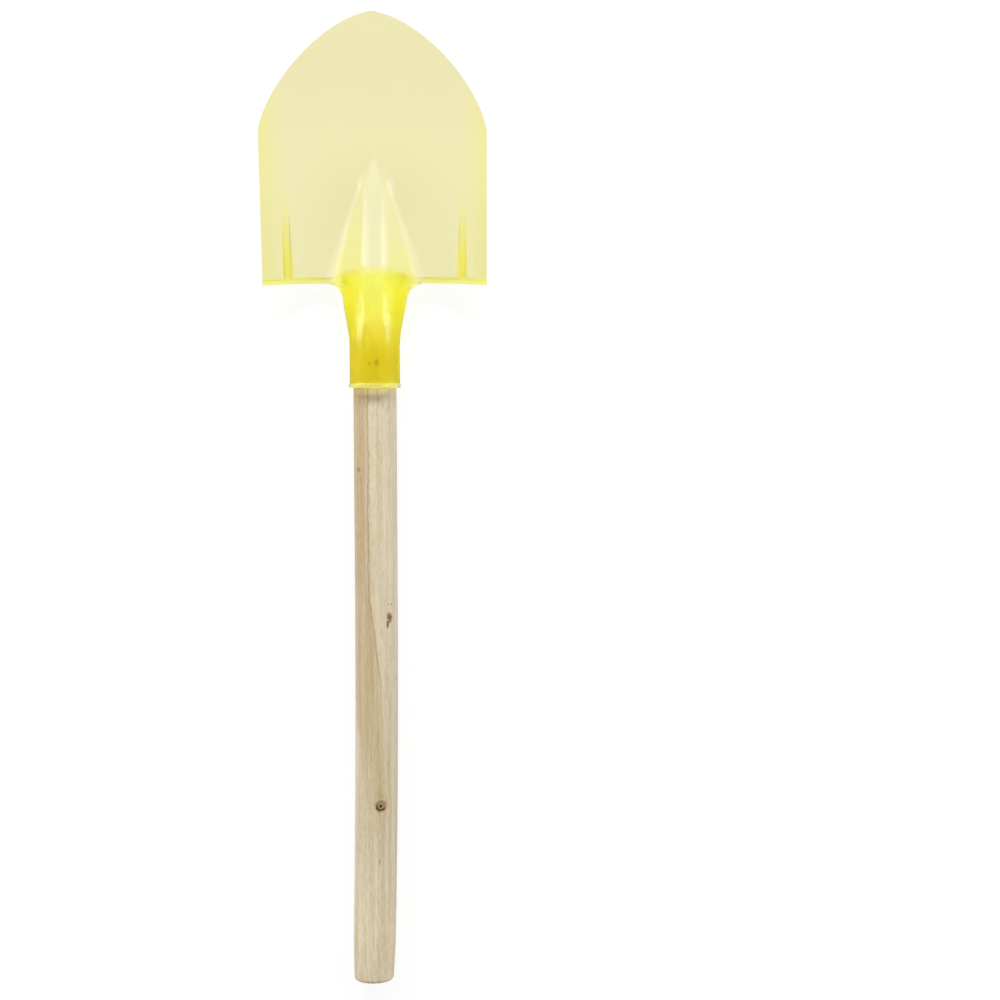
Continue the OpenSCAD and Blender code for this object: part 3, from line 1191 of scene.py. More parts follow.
@dataclass
class ShovelHead:
    """The moulded head: a dished blade, a hollow ridge that runs into a round socket, a flange and ribs.

    On the blade, x is the distance from the centre line, v from the tread along the blade, and n out of
    the blade's plane. In the flare, d is the distance below the tread.
    """

    # Socket
    socket_len: float = 53.2
    tube_r: float = 12.85
    lip_r: float = 1.2
    bore_r: float = 11.1
    bore_draft: float = 0.7
    bore_depth: float = 38.0
    bore_mouth: float = 0.35
    bore_mouth_len: float = 0.5
    bore_stops: tuple[float, ...] = (
        -1.0, 0.0, 0.1, 0.2, 0.35, 0.5, 4, 8, 12, 16, 20, 24, 28, 32, 36, 37.6,
    )
    shoulder_round: tuple[Span, ...] = ((0.1, 0.12), (0.0, 0.4))
    throat_step: float = 1.0
    throat_end: float = 8.5
    throat_angle: float = math.radians(60)
    throat_inset: float = 0.3

    # Blade
    blade_w: float = 115.2
    blade_len: float = 136.6
    blade_wall: float = 1.3
    blade_lift: float = math.radians(8.5)
    tread_drop: float = 10.8
    tread_inset: float = 0.35
    shoulder_at: float = 77.0
    nose_power: float = 1.48
    nose_round: float = 1.56
    nose_cut: float = 0.003
    nose_least: float = 0.02
    side_slope: float = 0.45
    bend_at: float = 40.0
    bend_soft: float = 8.0
    edge_r: float = 0.5

    # Ridge
    ridge_len: float = 62.0
    ridge_rise: float = 23.0
    ridge_swell: float = 0.3
    flank_angle: float = math.radians(54)
    crest_r: float = 9.0
    foot_r: float = 5.0
    tip_loss: float = 0.35
    ridge_least: float = 8.0

    # Flare between socket and tread
    flare_len: float = 33.0
    flare_widen: float = 4.2
    flare_crowd: float = 1.7
    tread_fillet: float = 8.5
    crest_len: float = 26.0
    foot_power: float = 1.6
    tube_share: float = 0.9
    tube_side: float = 0.985

    # Flange behind the tread, as depth over distance in shares of its wall
    flange_wall: float = 2.3
    flange_depth: float = 2.3
    flange_from: float = 18.4
    flange_fade: float = 7.0
    flange_fillet: float = 2.0
    flange_section: tuple[Span, ...] = (
        (0.0, 0.8), (0.06, 0.9), (0.14, 0.97), (0.24, 1.0), (0.56, 1.0), (0.68, 0.95), (0.8, 0.85),
        (0.93, 0.7), (1.06, 0.54), (1.19, 0.38), (1.32, 0.22), (1.45, 0.1), (1.58, 0.03), (1.7, 0.0),
    )

    # Wall behind the socket's end, and the arch where the ridge's hollow starts
    strap_half: float = 8.0
    strap_fade: float = 5.0
    arch_at: float = 6.6
    arch_edge: float = 0.4
    arch_drop: float = 3.1
    arch_half: float = 18.5
    arch_fade: float = 12.0
    arch_start: float = 1.2

    # Ribs
    rib_out: float = 46.7
    rib_in: float = 41.0
    rib_tip_in: float = 44.0
    rib_start: float = 1.3
    rib_len: float = 47.0
    rib_depth: float = 2.0
    rib_draft: float = 1.4
    rib_corner: float = 0.35
    bury: float = 0.8
    screw_hole: float = 4.0

    # Rows and columns of the meshes
    ridge_cols: int = 24
    knee_share: float = 4 / 9
    inner_cols: int = 3
    inner_share: float = 0.2
    wing_cols: int = 20
    edge_cols: int = 7
    bore_cols: int = 20
    lip_rows: int = 16
    tube_rows: int = 12
    flare_rows: int = 56
    strap_rows: int = 4
    hollow_rows: int = 50
    nose_rows: int = 64
    rib_rows: int = 24
    rib_cols: int = 4
    throat_rows: int = 24
    throat_end_rows: int = 4

    def __post_init__(self) -> None:
        """Works out the sizes that follow from the others."""
        self.max_half = self.blade_w / 2
        self.tread_half = self.max_half - self.tread_inset
        self.flare_half = self.tube_r + self.flare_widen + self.tread_fillet
        self.strap_depth = self.tube_r - self.tread_drop - self.blade_wall
        self.blade_from = self.arch_at + self.arch_edge
        self.flare_cols = self.ridge_cols + self.inner_cols
        self.cols = self.flare_cols + self.wing_cols
        self.lean, self.rise = math.cos(self.blade_lift), math.sin(self.blade_lift)

    def blade_half(self, v: float) -> float:
        """Half the blade's width.

        Args:
            v: Distance from the tread.

        Returns:
            The distance of the blade's edge from the centre line.
        """
        share = unit((v - self.shoulder_at) / (self.blade_len - self.shoulder_at))
        widest = mix(self.tread_half, self.max_half, min(1.0, v / self.shoulder_at))
        return widest * (1 - share**self.nose_power) ** (1 / self.nose_round)

    def outline_normal(self, v: float) -> Span:
        """Direction out of the blade's outline on its right.

        Args:
            v: Distance from the tread.

        Returns:
            Its shares of x and v.
        """
        step = min(0.05, (self.blade_len - v) / 2)
        slope = (self.blade_half(v + step) - self.blade_half(v - step)) / (2 * step)
        size = math.hypot(1, slope)
        return 1 / size, -slope / size

    def bend(self, r: float) -> float:
        """Soft bend from flat to the slope of the blade's sides."""
        return self.side_slope * (math.hypot(r - self.bend_at, self.bend_soft) + r - self.bend_at) / 2

    def dish(self, x: float) -> float:
        """Height of the blade's turned-up sides."""
        return self.bend(abs(x)) - self.bend(0)

    def ridge_h(self, v: float) -> float:
        """Height of the ridge's crest."""
        share = min(1.0, v / self.ridge_len)
        return self.ridge_rise * (1 - share) * (1 + self.ridge_swell * share)

    def radius_share(self, v: float) -> float:
        """What is left of the ridge's radii."""
        return 1 - self.tip_loss * unit(v / self.ridge_len) ** 2

    def ridge_angle(self, v: float) -> float:
        """Steepest angle of the ridge's flanks."""
        both = self.radius_share(v) * (self.crest_r + self.foot_r)
        return math.acos(max(math.cos(self.flank_angle), 1 - self.ridge_h(v) / both))

    def ridge_half(self, v: float) -> float:
        """Half the ridge's width.

        Args:
            v: Distance from the tread.

        Returns:
            The distance of the ridge's foot from the centre line.
        """
        a = self.ridge_angle(v)
        h = self.ridge_h(v)
        both = self.radius_share(v) * (self.crest_r + self.foot_r)
        flank = 0.0 if h <= 0 else max(0.0, h - both * (1 - math.cos(a))) / math.sin(a)
        return both * math.sin(a) + flank * math.cos(a)

    def ridge(self, x: float, v: float, wall: float) -> float:
        """Height of the ridge's section.

        Args:
            x: Distance from the centre line.
            v: Distance from the tread.
            wall: How far inside the outer face the section lies.

        Returns:
            The height over the blade's plane, or over the plane a wall behind it.
        """
        h = self.ridge_h(v)
        if h <= 0:
            return 0.0
        a = self.ridge_angle(v)
        half = self.ridge_half(v)
        crest = self.radius_share(v) * self.crest_r - wall
        foot = self.radius_share(v) * self.foot_r + wall
        r = abs(x)
        if r >= half:
            return 0.0
        if r >= half - foot * math.sin(a):
            return foot - math.sqrt(foot**2 - (half - r) ** 2)
        if r <= crest * math.sin(a):
            return h - crest + math.sqrt(crest**2 - r**2)
        return h - crest * (1 - math.cos(a)) - (r - crest * math.sin(a)) * math.tan(a)

    def face(self, x: float, v: float) -> float:
        """Front of the blade over its plane."""
        return self.dish(x) + self.ridge(x, v, 0)

    def closed_back(self, x: float) -> float:
        """Back of the wall behind the socket's end."""
        strap = 1 - ease((abs(x) - self.strap_half) / self.strap_fade)
        return self.dish(x) - self.blade_wall - self.strap_depth * strap

    def flange(self, x: float, v: float) -> float:
        """Depth of the flange behind the tread."""
        beside = ease((abs(x) - self.flange_from) / self.flange_fade)
        return self.flange_depth * beside * lookup(v / self.flange_wall, self.flange_section)

    def arch_dip(self, x: float, v: float) -> float:
        """How far the arch's edge drops towards the tread.

        Args:
            x: Distance from the centre line.
            v: Distance from the tread.

        Returns:
            The drop, which fades out ahead of the arch and behind it.
        """
        r = abs(x)
        side = unit(r / self.arch_half) ** 2 * (1 - ease((r - self.arch_half) / self.arch_half))
        start, end = self.arch_start * self.flange_wall, self.blade_from + self.arch_fade
        stops = ((start, 0.0), (self.arch_at, 1.0), (self.blade_from, 1.0), (end, 0.0))
        return self.arch_drop * side * lookup(v, stops)

    def back(self, x: float, v: float) -> float:
        """Back of the blade: closed at the socket's end, hollow under the ridge.

        Args:
            x: Distance from the centre line.
            v: Distance from the tread.

        Returns:
            The height over the blade's plane.
        """
        if v < self.blade_from:
            return self.closed_back(x) - self.flange(x, v)
        return self.dish(x) - self.blade_wall + self.ridge(x, v, self.blade_wall)

    def on_blade(self, x: float, v: float, n: float) -> Point:
        """A point of the blade in the handle's own axes."""
        along = self.socket_len + v * self.lean - n * self.rise
        return x, along, v * self.rise + n * self.lean - self.tread_drop

    def ridge_span(self, v: float) -> float:
        """Half the width that the ridge's own columns cover."""
        return min(max(self.ridge_half(v), self.ridge_least), self.blade_half(v) / 2)

    def column_x(self, i: int, v: float, outer: float) -> float:
        """Place of a column on the right of the blade.

        Args:
            i: Number of the column, from 0 on the centre line.
            v: Distance from the tread.
            outer: Place of the last column.

        Returns:
            The column's distance from the centre line.
        """
        inner = self.ridge_span(v)
        at_flare = min(self.flare_half, mix(inner, outer, self.inner_share))
        stops = ((0, 0.0), (self.ridge_cols, inner), (self.flare_cols, at_flare), (self.cols, outer))
        return lookup(i, stops)

    def edge_line(self, front: Point, back: Point, out: Span, round_r: float) -> list[Point]:
        """Rounded edge between the front and the back.

        Args:
            front: Last point of the front.
            back: Last point of the back.
            out: Direction out of the edge, in x and along the blade.
            round_r: Radius of the rounding at both faces.

        Returns:
            The points from the front to the back, without those two.
        """
        gap = math.dist(front, back)
        corner = min(round_r, gap / 2)
        half_way = (self.edge_cols + 1) / 2
        line: list[Point] = []
        for k in range(1, self.edge_cols + 1):
            turn = math.pi / 2 * k / half_way
            depth = gap / 2
            if k < half_way:
                depth = corner * (1 - math.cos(turn))
            elif k > half_way:
                depth = gap - corner * (1 + math.cos(turn))
            x, y, z = between(front, back, depth / gap)
            reach = round_r * math.sin(turn)
            along = out[1] * reach
            line.append((x + out[0] * reach, y + along * self.lean, z + along * self.rise))
        return line

    def blade_rows(self) -> list[float]:
        """Distances from the tread of the blade's rows, before the edge's rounding is taken off.

        Returns:
            The distances, from the tread to the tip.
        """
        flange = [t * self.flange_wall for t, _ in self.flange_section]
        flange = [v for v in flange if v > self.edge_r]
        strap = [mix(flange[-1], self.arch_at, k / self.strap_rows) for k in range(1, self.strap_rows + 1)]
        hollow = [k / self.hollow_rows for k in range(self.hollow_rows + 1)]
        hollow = [mix(self.blade_from, self.shoulder_at, share) for share in hollow]
        nose = [(1 - math.cos(math.pi * k / self.nose_rows)) / 2 for k in range(1, self.nose_rows)]
        nose = [mix(self.shoulder_at, self.blade_len, share) for share in nose]
        return [self.edge_r, *flange, *strap, *hollow, *nose, self.blade_len - self.nose_cut]

    def blade_row(self, v: float) -> HalfRow:
        """One row across the right half of the blade.

        Args:
            v: Distance from the tread; past the shoulder the row is taken in by the edge's rounding.

        Returns:
            The front from the centre line out, the edge, and the back from the centre line out.
        """
        out = (1.0, 0.0) if v < self.shoulder_at / 2 else self.outline_normal(v)
        inset_v = v - out[1] * self.edge_r
        outer = max(self.nose_least, self.blade_half(v) - out[0] * self.edge_r)
        if v <= self.edge_r:
            out = (1.0, -1.0)
        xs = [self.column_x(i, inset_v, outer) for i in range(self.cols + 1)]
        front = [self.on_blade(x, inset_v, self.face(x, inset_v)) for x in xs]
        back = [
            self.on_blade(x, inset_v - self.arch_dip(x, inset_v), self.back(x, inset_v)) for x in xs
        ]
        return front, self.edge_line(front[-1], back[-1], out, self.edge_r), back

    @staticmethod
    def loop(front: list[Point], edge: list[Point], back: list[Point]) -> list[Point]:
        """Closed loop of a half row and its mirror image.

        Args:
            front: The front from the centre line out.
            edge: The edge from the front to the back.
            back: The back from the centre line out.

        Returns:
            The loop from the left edge over the front and back behind it.
        """
        right = [*front[1:], *edge, *back[:0:-1]]
        left = [(-x, y, z) for x, y, z in right]
        turned = len(front) - 1
        return [*left[:turned][::-1], front[0], *right, back[0], *left[turned:][::-1]]

    def fillet(self, d: float) -> float:
        """Width that the tread's fillet adds."""
        r = self.tread_fillet
        return 0.0 if d >= r else r - math.sqrt(r**2 - (r - max(0.0, d)) ** 2)

    def side_share(self, d: float) -> float:
        """How far the socket's side has gone from the tube to the tread."""
        swell = (1 + math.cos(math.pi * unit(d / self.flare_len))) / 2
        return (self.flare_widen * swell + self.fillet(d)) / (self.flare_half - self.tube_r)

    def foot_share(self, d: float) -> float:
        """How far the ridge's foot has gone from the tube to the tread."""
        return 1 - (1 - unit(self.side_share(d))) ** self.foot_power

    def crest_mix(self, d: float, i: int, foot: float) -> float:
        """Share of a column between the crest, which eases on its own length, and the foot's share."""
        knee = self.knee_share * self.ridge_cols
        return mix(ease(1 - d / self.crest_len), foot, ease((i - knee) / (self.ridge_cols - knee)))

    def tube_radius(self, y: float) -> float:
        """Radius of the socket at y from its mouth, with the bead round the mouth."""
        bead = math.sqrt(max(0.0, self.lip_r**2 - (y - self.lip_r) ** 2)) - self.lip_r / 2
        return self.tube_r + (max(bead, 0.0) if y > self.lip_r else bead)

    def tube_turn(self, i: int) -> float:
        """Angle of a column round the tube, from the front."""
        stops = ((0, 0.0), (self.ridge_cols, self.tube_share), (self.flare_cols, self.tube_side))
        return math.pi / 2 * lookup(i, stops)

    def tube_row(self, y: float) -> HalfRow:
        """Half a ring of the tube.

        Args:
            y: Distance from the mouth.

        Returns:
            The front, the edge and the back, as on the blade.
        """
        r = self.tube_radius(y)
        turns = [self.tube_turn(i) for i in range(self.flare_cols + 1)]
        last = turns[-1]
        sides = [mix(last, math.pi - last, k / (self.edge_cols + 1)) for k in range(1, self.edge_cols + 1)]
        front, edge = ([(r * math.sin(a), y, r * math.cos(a)) for a in part] for part in (turns, sides))
        return front, edge, [(x, y, -z) for x, y, z in front]

    def flare_out(self, d: float) -> Span:
        """Direction out of the flare's side.

        Args:
            d: Distance below the tread.

        Returns:
            Its shares of x and of the handle's line.
        """
        step = 1e-3
        if d <= 0:
            return 0.0, -1.0
        slope = (self.side_share(d + step) - self.side_share(d)) / step * (self.flare_half - self.tube_r)
        size = math.hypot(1, slope)
        return 1 / size, slope / size

    def flare_columns(self, inner: float) -> list[float]:
        """Distances of the flare's columns from the centre line, for a ridge of that half width."""
        stops = ((0, 0.0), (self.ridge_cols, inner), (self.flare_cols, self.flare_half))
        return [lookup(i, stops) for i in range(self.flare_cols + 1)]

    def flare_row(self, share: float) -> HalfRow:
        """Half a ring of the flare between the tube and the tread.

        Args:
            share: 0 at the end of the tube, 1 at the tread.

        Returns:
            The front, the edge and the back, as on the blade.
        """
        d = mix(self.flare_len, -self.edge_r, share)
        rim_d = mix(self.flare_len, 0.0, share)
        wide = self.side_share(rim_d)
        out = self.flare_out(rim_d)
        round_r = self.edge_r * wide
        if share >= 1:
            front, _, back = (line[: self.flare_cols + 1] for line in self.blade_row(self.edge_r))
            return front, self.edge_line(front[-1], back[-1], out, round_r), back
        near_tread = unit(1 - max(0.0, d) / self.flange_fillet)
        root = 1 - math.sqrt(1 - near_tread**2)
        front, back = [], []
        columns = zip(self.flare_columns(self.ridge_span(-d)), self.flare_columns(self.ridge_span(0)))
        for i, (x, rear_x) in enumerate(columns):
            a = self.tube_turn(i)
            beyond = max(0.0, (i - self.ridge_cols) / self.inner_cols)
            high = self.crest_mix(d, i, self.foot_share(d))
            side_d = rim_d if beyond else d
            across = self.crest_mix(side_d, i, self.side_share(side_d))
            tube = (self.tube_r * math.sin(a), self.socket_len - d, self.tube_r * math.cos(a))
            blade = self.on_blade(x, -d, self.face(x, -d))
            depth = self.closed_back(rear_x) - root * self.flange(rear_x, self.edge_r)
            rear = self.on_blade(rear_x, 0.0, depth)
            pull = out[0] * beyond * round_r
            for line, end, end_y, tube_z in (
                (front, blade, blade[1], tube[2]),
                (back, rear, rear[1] - d * self.lean, -tube[2]),
            ):
                wide_x = mix(tube[0], end[0], across) - pull
                line.append((wide_x, mix(tube[1], end_y, across), mix(tube_z, end[2], high)))
        rim_x = mix(self.tube_r * math.sin(self.tube_turn(self.flare_cols)), self.flare_half, wide)
        for line in (front, back):
            line[-1] = (rim_x - out[0] * round_r, *line[-1][1:])
        return front, self.edge_line(front[-1], back[-1], out, round_r), back

    def skin(self) -> bpy.types.Mesh:
        """The head's closed skin, before the bore is cut.

        Returns:
            The skin's mesh.
        """
        shell = Shell()
        lip = [self.lip_r * (1 - math.cos(math.pi * k / self.lip_rows)) for k in range(self.lip_rows + 1)]
        tube_end = self.socket_len - self.flare_len
        tube = [mix(lip[-1], tube_end, k / self.tube_rows) for k in range(1, self.tube_rows)]
        flare = [1 - (1 - k / self.flare_rows) ** self.flare_crowd for k in range(self.flare_rows + 1)]
        rings = [self.loop(*self.tube_row(y)) for y in [*lip, *tube]]
        rings += [self.loop(*self.flare_row(share)) for share in flare]
        shell.grid(rings, closed=True)
        shell.cap(rings[0], flip=False)
        rows = [self.blade_row(v) for v in self.blade_rows()]
        loops = [self.loop(*row) for row in rows]
        shell.grid(loops, closed=True)
        shell.cap(loops[-1], flip=True)
        first_front, _, first_back = rows[0]
        for side in Side:
            lines = []
            for i in range(self.flare_cols, self.cols + 1):
                out = (1.0, -1.0) if i == self.cols else (0.0, -1.0)
                front, back = first_front[i], first_back[i]
                line = [front, *self.edge_line(front, back, out, self.edge_r), back]
                lines.append([(side.value * x, y, z) for x, y, z in line])
            shell.grid(lines)
        return shell.mesh("shovel_head")

    def rib_section(self, share: float) -> list[Span]:
        """Section of a rib.

        Args:
            share: 0 at the tread, 1 at the rib's tip.

        Returns:
            Points in x and in depth from the blade's back.
        """
        inner = mix(self.rib_in, self.rib_tip_in, share)
        depth = mix(self.rib_depth, -self.bury / 2, share)
        corner = self.rib_corner * (1 - share)
        low = inner + self.rib_draft * max(0.0, depth)
        shares = [j / self.rib_cols for j in range(self.rib_cols + 1)]
        return [
            *[(mix(inner, self.rib_out, across), self.bury) for across in shares],
            (self.rib_out, corner - depth),
            (self.rib_out - corner, -depth),
            *[(mix(self.rib_out, low, across), -depth) for across in shares[1:-1]],
            (low + corner, -depth),
            (low, corner - depth),
        ]

    def ribs(self) -> bpy.types.Mesh:
        """The two wedge ribs behind the blade, sunk in its wall.

        Returns:
            The mesh of both.
        """
        shell = Shell()
        shares = [k / self.rib_rows for k in range(self.rib_rows + 1)]
        for side in Side:
            rows = []
            for share in shares:
                v = mix(self.rib_start, self.rib_len, share)
                section = self.rib_section(share)
                heights = [self.dish(x) - self.blade_wall + n for x, n in section]
                rows.append([self.on_blade(side.value * x, v, n) for (x, _), n in zip(section, heights)])
            shell.bar(rows)
        return shell.mesh("ribs")

    def arch_loop(self, v: float) -> list[Point]:
        """Section of the throat where it has become an arch with straight flanks.

        Args:
            v: Distance from the tread.

        Returns:
            The loop from the left over the top and back along the floor.
        """
        cols = self.bore_cols
        wall = self.blade_wall + self.throat_inset
        r = self.crest_r - wall
        h = self.ridge_h(v)

        def point(k: float) -> Point:
            """Point of the arch.

            Args:
                k: Share of the way from the top to the floor, less than 0 on the left.

            Returns:
                The point.
            """
            turn = unit(2 * abs(k)) * self.throat_angle
            drop = unit(2 * abs(k) - 1) * (h - wall - r * (1 - math.cos(self.throat_angle)))
            x = r * math.sin(turn) + drop / math.tan(self.throat_angle)
            return self.on_blade(math.copysign(x, k), v, h - wall - r * (1 - math.cos(turn)) - drop)

        top = [point(i / cols) for i in range(-cols, cols + 1)]
        floor = [between(top[0], top[-1], (i / cols + 1) / 2) for i in range(cols - 1, -cols, -1)]
        return [*top, *floor]

    def hollow(self) -> bpy.types.Mesh:
        """The space inside the socket: the tapered bore, its shoulder and the throat to the ridge's hollow.

        Returns:
            The space's mesh.
        """

        def ring(y: float, r: float) -> list[Point]:
            """Ring about the handle's axis, from the left over the front."""
            turns = [math.pi / 2 * (i / self.bore_cols - 1) for i in range(4 * self.bore_cols)]
            return [(r * math.sin(a), y, r * math.cos(a)) for a in turns]

        def bore_at(y: float) -> float:
            """Radius of the bore, which opens a little at the mouth."""
            taper = self.bore_draft * y / self.bore_depth
            return self.bore_r - taper + self.bore_mouth * (1 - ease(y / self.bore_mouth_len))

        shoulder = self.bore_r - self.bore_draft
        bore = [ring(y, bore_at(y)) for y in self.bore_stops]
        bore += [ring(self.bore_depth - back, shoulder - inset) for back, inset in self.shoulder_round]
        start, end = ring(self.bore_depth, shoulder - self.throat_step), self.arch_loop(0.0)
        shares = [ease(k / self.throat_rows) for k in range(self.throat_rows + 1)]
        throat = [[between(p, q, share) for p, q in zip(start, end)] for share in shares]
        rows = self.throat_end_rows
        throat += [self.arch_loop(self.throat_end * k / rows) for k in range(1, rows + 1)]
        return Shell().bar([*bore, *throat]).mesh("socket_hollow")

    def build(self, seat: Seat, screw: "FixingScrew", finish: ClearPlastic) -> None:
        """Makes the head.

        Args:
            seat: Where the shovel lies.
            screw: The screw whose hole goes through the socket's back.
            finish: The head's plastic.
        """
        head = new_object("head_moulding", self.skin())
        hole = screw.hole(self.screw_hole)
        combine(head, (Join.ADD, self.ribs()), (Join.CUT, self.hollow()), (Join.CUT, hole))
        settle(head, seat, finish.build(seat, self.socket_len), "shovel_head")


@dataclass
class Handle:
    """The round wooden handle, with a domed end in the socket, a worn free end and a slight bow."""

    r: float = 11.0
    reach: float = 308.0
    end_round: float = 1.5
    end_wear: float = 0.8
    wear_len: float = 26.0
    wear_power: float = 1.5
    tenon_len: float = 34.0
    tenon_taper: float = 0.368
    dome_len: float = 14.0
    dome_turn: float = math.radians(72)
    bow: float = -2.6
    bow_from: float = 100.0
    columns: int = 96
    end_rows: int = 10
    shaft_rows: int = 72
    shaft_crowd: float = 1.4
    tenon_rows: int = 8
    dome_rows: int = 18

    def bow_at(self, y: float) -> float:
        """How far the wood's axis has bent aside at y."""
        return self.bow * unit((-y - self.bow_from) / (self.reach - self.bow_from)) ** 2

    def worn_r(self, y: float) -> float:
        """Radius at y, a little less where the free end is worn."""
        return self.r - self.end_wear * unit(1 - (y + self.reach) / self.wear_len) ** self.wear_power

    def profile(self) -> list[Span]:
        """The handle's outline.

        Returns:
            Pairs of place along the handle and radius, from the free end to the end in the socket.
        """
        outline: list[Span] = []
        for k in range(self.end_rows + 1):
            turn = math.pi / 2 * k / self.end_rows
            y = -self.reach + self.end_round * (1 - math.cos(turn))
            outline.append((y, self.worn_r(y) - self.end_round * (1 - math.sin(turn))))
        for k in range(1, self.shaft_rows + 1):
            y = mix(self.end_round - self.reach, 0.0, (k / self.shaft_rows) ** self.shaft_crowd)
            outline.append((y, self.worn_r(y)))
        dome_at = self.tenon_len - self.dome_len
        tip = self.r - self.tenon_taper
        for k in range(1, self.tenon_rows + 1):
            share = k / self.tenon_rows
            outline.append((dome_at * share, mix(self.r, tip, share)))
        for k in range(1, self.dome_rows + 1):
            turn = self.dome_turn * k / self.dome_rows
            rise = math.sin(turn) / math.sin(self.dome_turn)
            outline.append((dome_at + self.dome_len * rise, tip * math.cos(turn)))
        return outline

    def build(self, seat: Seat, screw: "FixingScrew", finish: BareWood) -> None:
        """Makes the handle.

        Args:
            seat: Where the shovel lies.
            screw: The screw whose pilot hole is in the wood.
            finish: The handle's wood.
        """
        turns = [2 * math.pi * i / self.columns for i in range(self.columns)]
        rings = []
        for y, r in self.profile():
            rings.append([(r * math.sin(a) + self.bow_at(y), y, r * math.cos(a)) for a in turns])
        wood = new_object("wooden_handle", Shell().bar(rings).mesh("wooden_handle"))
        combine(wood, (Join.CUT, screw.hole(screw.length + screw.pilot_spare)))
        settle(wood, seat, finish.build(seat, self.reach), "handle")


@dataclass
class FixingScrew:
    """Small countersunk wood screw through the socket's back into the handle.

    Its depths run from the socket's back, which lies at surface, towards the handle's axis.
    """

    surface: float
    at: float = 14.0
    r: float = 1.4
    core_r: float = 1.0
    head_r: float = 2.7
    head_h: float = 1.3
    head_edge: float = 0.15
    head_rim: tuple[Span, ...] = ((0.0, 1.0), (0.3, 0.3), (1.0, 1.0))
    neck: float = 0.3
    neck_inset: float = 0.05
    length: float = 15.0
    tip: float = 3.0
    tip_r: float = 0.02
    hole_start: float = -2.0
    pilot_spare: float = 1.0
    pitch: float = 1.2
    crest_share: float = 0.28
    run_out: float = 0.8
    gap: float = 0.05
    slot_w: float = 0.7
    slot_reach: float = 0.56
    slot_stops: tuple[Span, ...] = ((-1.0, 1.1), (0.0, 1.0), (0.7, 0.72))
    columns: int = 32
    thread_rows: int = 150

    def ring(self, depth: float, radius: Callable[[float], float]) -> list[Point]:
        """Ring about the screw's axis.

        Args:
            depth: Distance from the socket's back.
            radius: Radius at each angle.

        Returns:
            The ring's points.
        """
        sizes = {a: radius(a) for a in (2 * math.pi * i / self.columns for i in range(self.columns))}
        z = depth - self.surface
        return [(r * math.sin(a), self.at + r * math.cos(a), z) for a, r in sizes.items()]

    def plain_rings(self, stops: Sequence[Span]) -> list[list[Point]]:
        """Round rings, from pairs of depth and radius."""
        return [self.ring(depth, lambda _, r=r: r) for depth, r in stops]

    def hole(self, depth: float) -> bpy.types.Mesh:
        """Countersunk hole with the screw's clearance.

        Args:
            depth: How deep the hole goes.

        Returns:
            The hole's mesh.
        """
        sink = self.head_r + 2 * self.gap
        shank = self.r + self.gap
        stops = [(self.hole_start, sink), (-self.gap, sink), (self.head_h, shank), (depth, shank)]
        return Shell().bar(self.plain_rings(stops)).mesh("screw_hole")

    def thread(self, depth: float) -> Callable[[float], float]:
        """The threaded shank at a depth.

        Args:
            depth: Distance from the socket's back.

        Returns:
            The radius by angle.
        """
        point = unit((self.length - depth) / self.tip)
        grip = ease((depth - self.head_h - self.neck) / self.run_out)
        core = mix(self.r - self.neck_inset, self.core_r, grip)

        def radius(angle: float) -> float:
            """Radius of a thread with a sharp crest and a flat root.

            Args:
                angle: Angle round the screw's axis, in radians.

            Returns:
                The radius.
            """
            phase = (depth / self.pitch - angle / (2 * math.pi)) % 1.0
            crest = max(0.0, 1 - abs(phase - 0.5) / self.crest_share)
            return max(self.tip_r, (core + (self.r - core) * crest * grip) * math.sqrt(point))

        return radius

    def recess(self) -> bpy.types.Mesh:
        """Cross-shaped recess in the head.

        Returns:
            The recess's mesh.
        """
        half, w = self.head_r * self.slot_reach, self.slot_w / 2
        outline = [(w, half), (w, w), (half, w), (half, -w), (w, -w), (w, -half)]
        outline += [(-a, -b) for a, b in outline]
        rows = []
        for depth, size in self.slot_stops:
            rows.append([(a * size, self.at + b * size, depth - self.surface) for a, b in outline])
        return Shell().bar(rows).mesh("screw_recess")

    def build(self, seat: Seat, finish: PlatedSteel) -> None:
        """Makes the screw.

        Args:
            seat: Where the shovel lies.
            finish: The screw's steel.
        """
        edge, neck = self.head_edge, self.head_h + self.neck
        rim = [(share * edge, self.head_r - inset * edge) for share, inset in self.head_rim]
        rings = self.plain_rings([*rim, (self.head_h, self.r), (neck, self.r - self.neck_inset)])
        for k in range(1, self.thread_rows + 1):
            depth = mix(neck, self.length, k / self.thread_rows)
            rings.append(self.ring(depth, self.thread(depth)))
        screw = new_object("fixing_screw_steel", Shell().bar(rings).mesh("fixing_screw_steel"))
        combine(screw, (Join.CUT, self.recess()))
        settle(screw, seat, finish.build(), "fixing_screw", crease=28.0)


@dataclass
class PhotoCamera:
    """The camera: straight above the shovel, with the blade's tip leaning towards it.

    It is placed by where it sees the socket's mouth, in millimetres from the middle of its view.
    """

    distance: float = 1084.0
    pixel_mm: float = 0.5164
    pixels: int = 1000
    sensor: float = 36.0
    clip_start: float = 0.01
    lean: float = math.radians(4.4)
    roll: float = math.radians(0.15)
    mouth_at: Point = (-63.86, 57.33, 11.74)

    def build(self, seat: Seat) -> None:
        """Makes the camera.

        Args:
            seat: Where the shovel lies.
        """
        turn = Matrix.Rotation(self.roll, 3, "Z") @ Matrix.Rotation(self.lean - seat.tilt, 3, "X")
        back = turn.transposed()
        spot = seat.mouth + back @ (Vector((0, 0, self.distance)) - Vector(self.mouth_at)) * MM
        data = bpy.data.cameras.new("photo_camera")
        data.sensor_width = self.sensor
        data.lens = self.sensor * self.distance / (self.pixels * self.pixel_mm)
        data.clip_start = self.clip_start
        camera = new_object("photo_camera", data)
        camera.matrix_world = Matrix.Translation(spot) @ back.to_4x4()
        bpy.context.scene.camera = camera


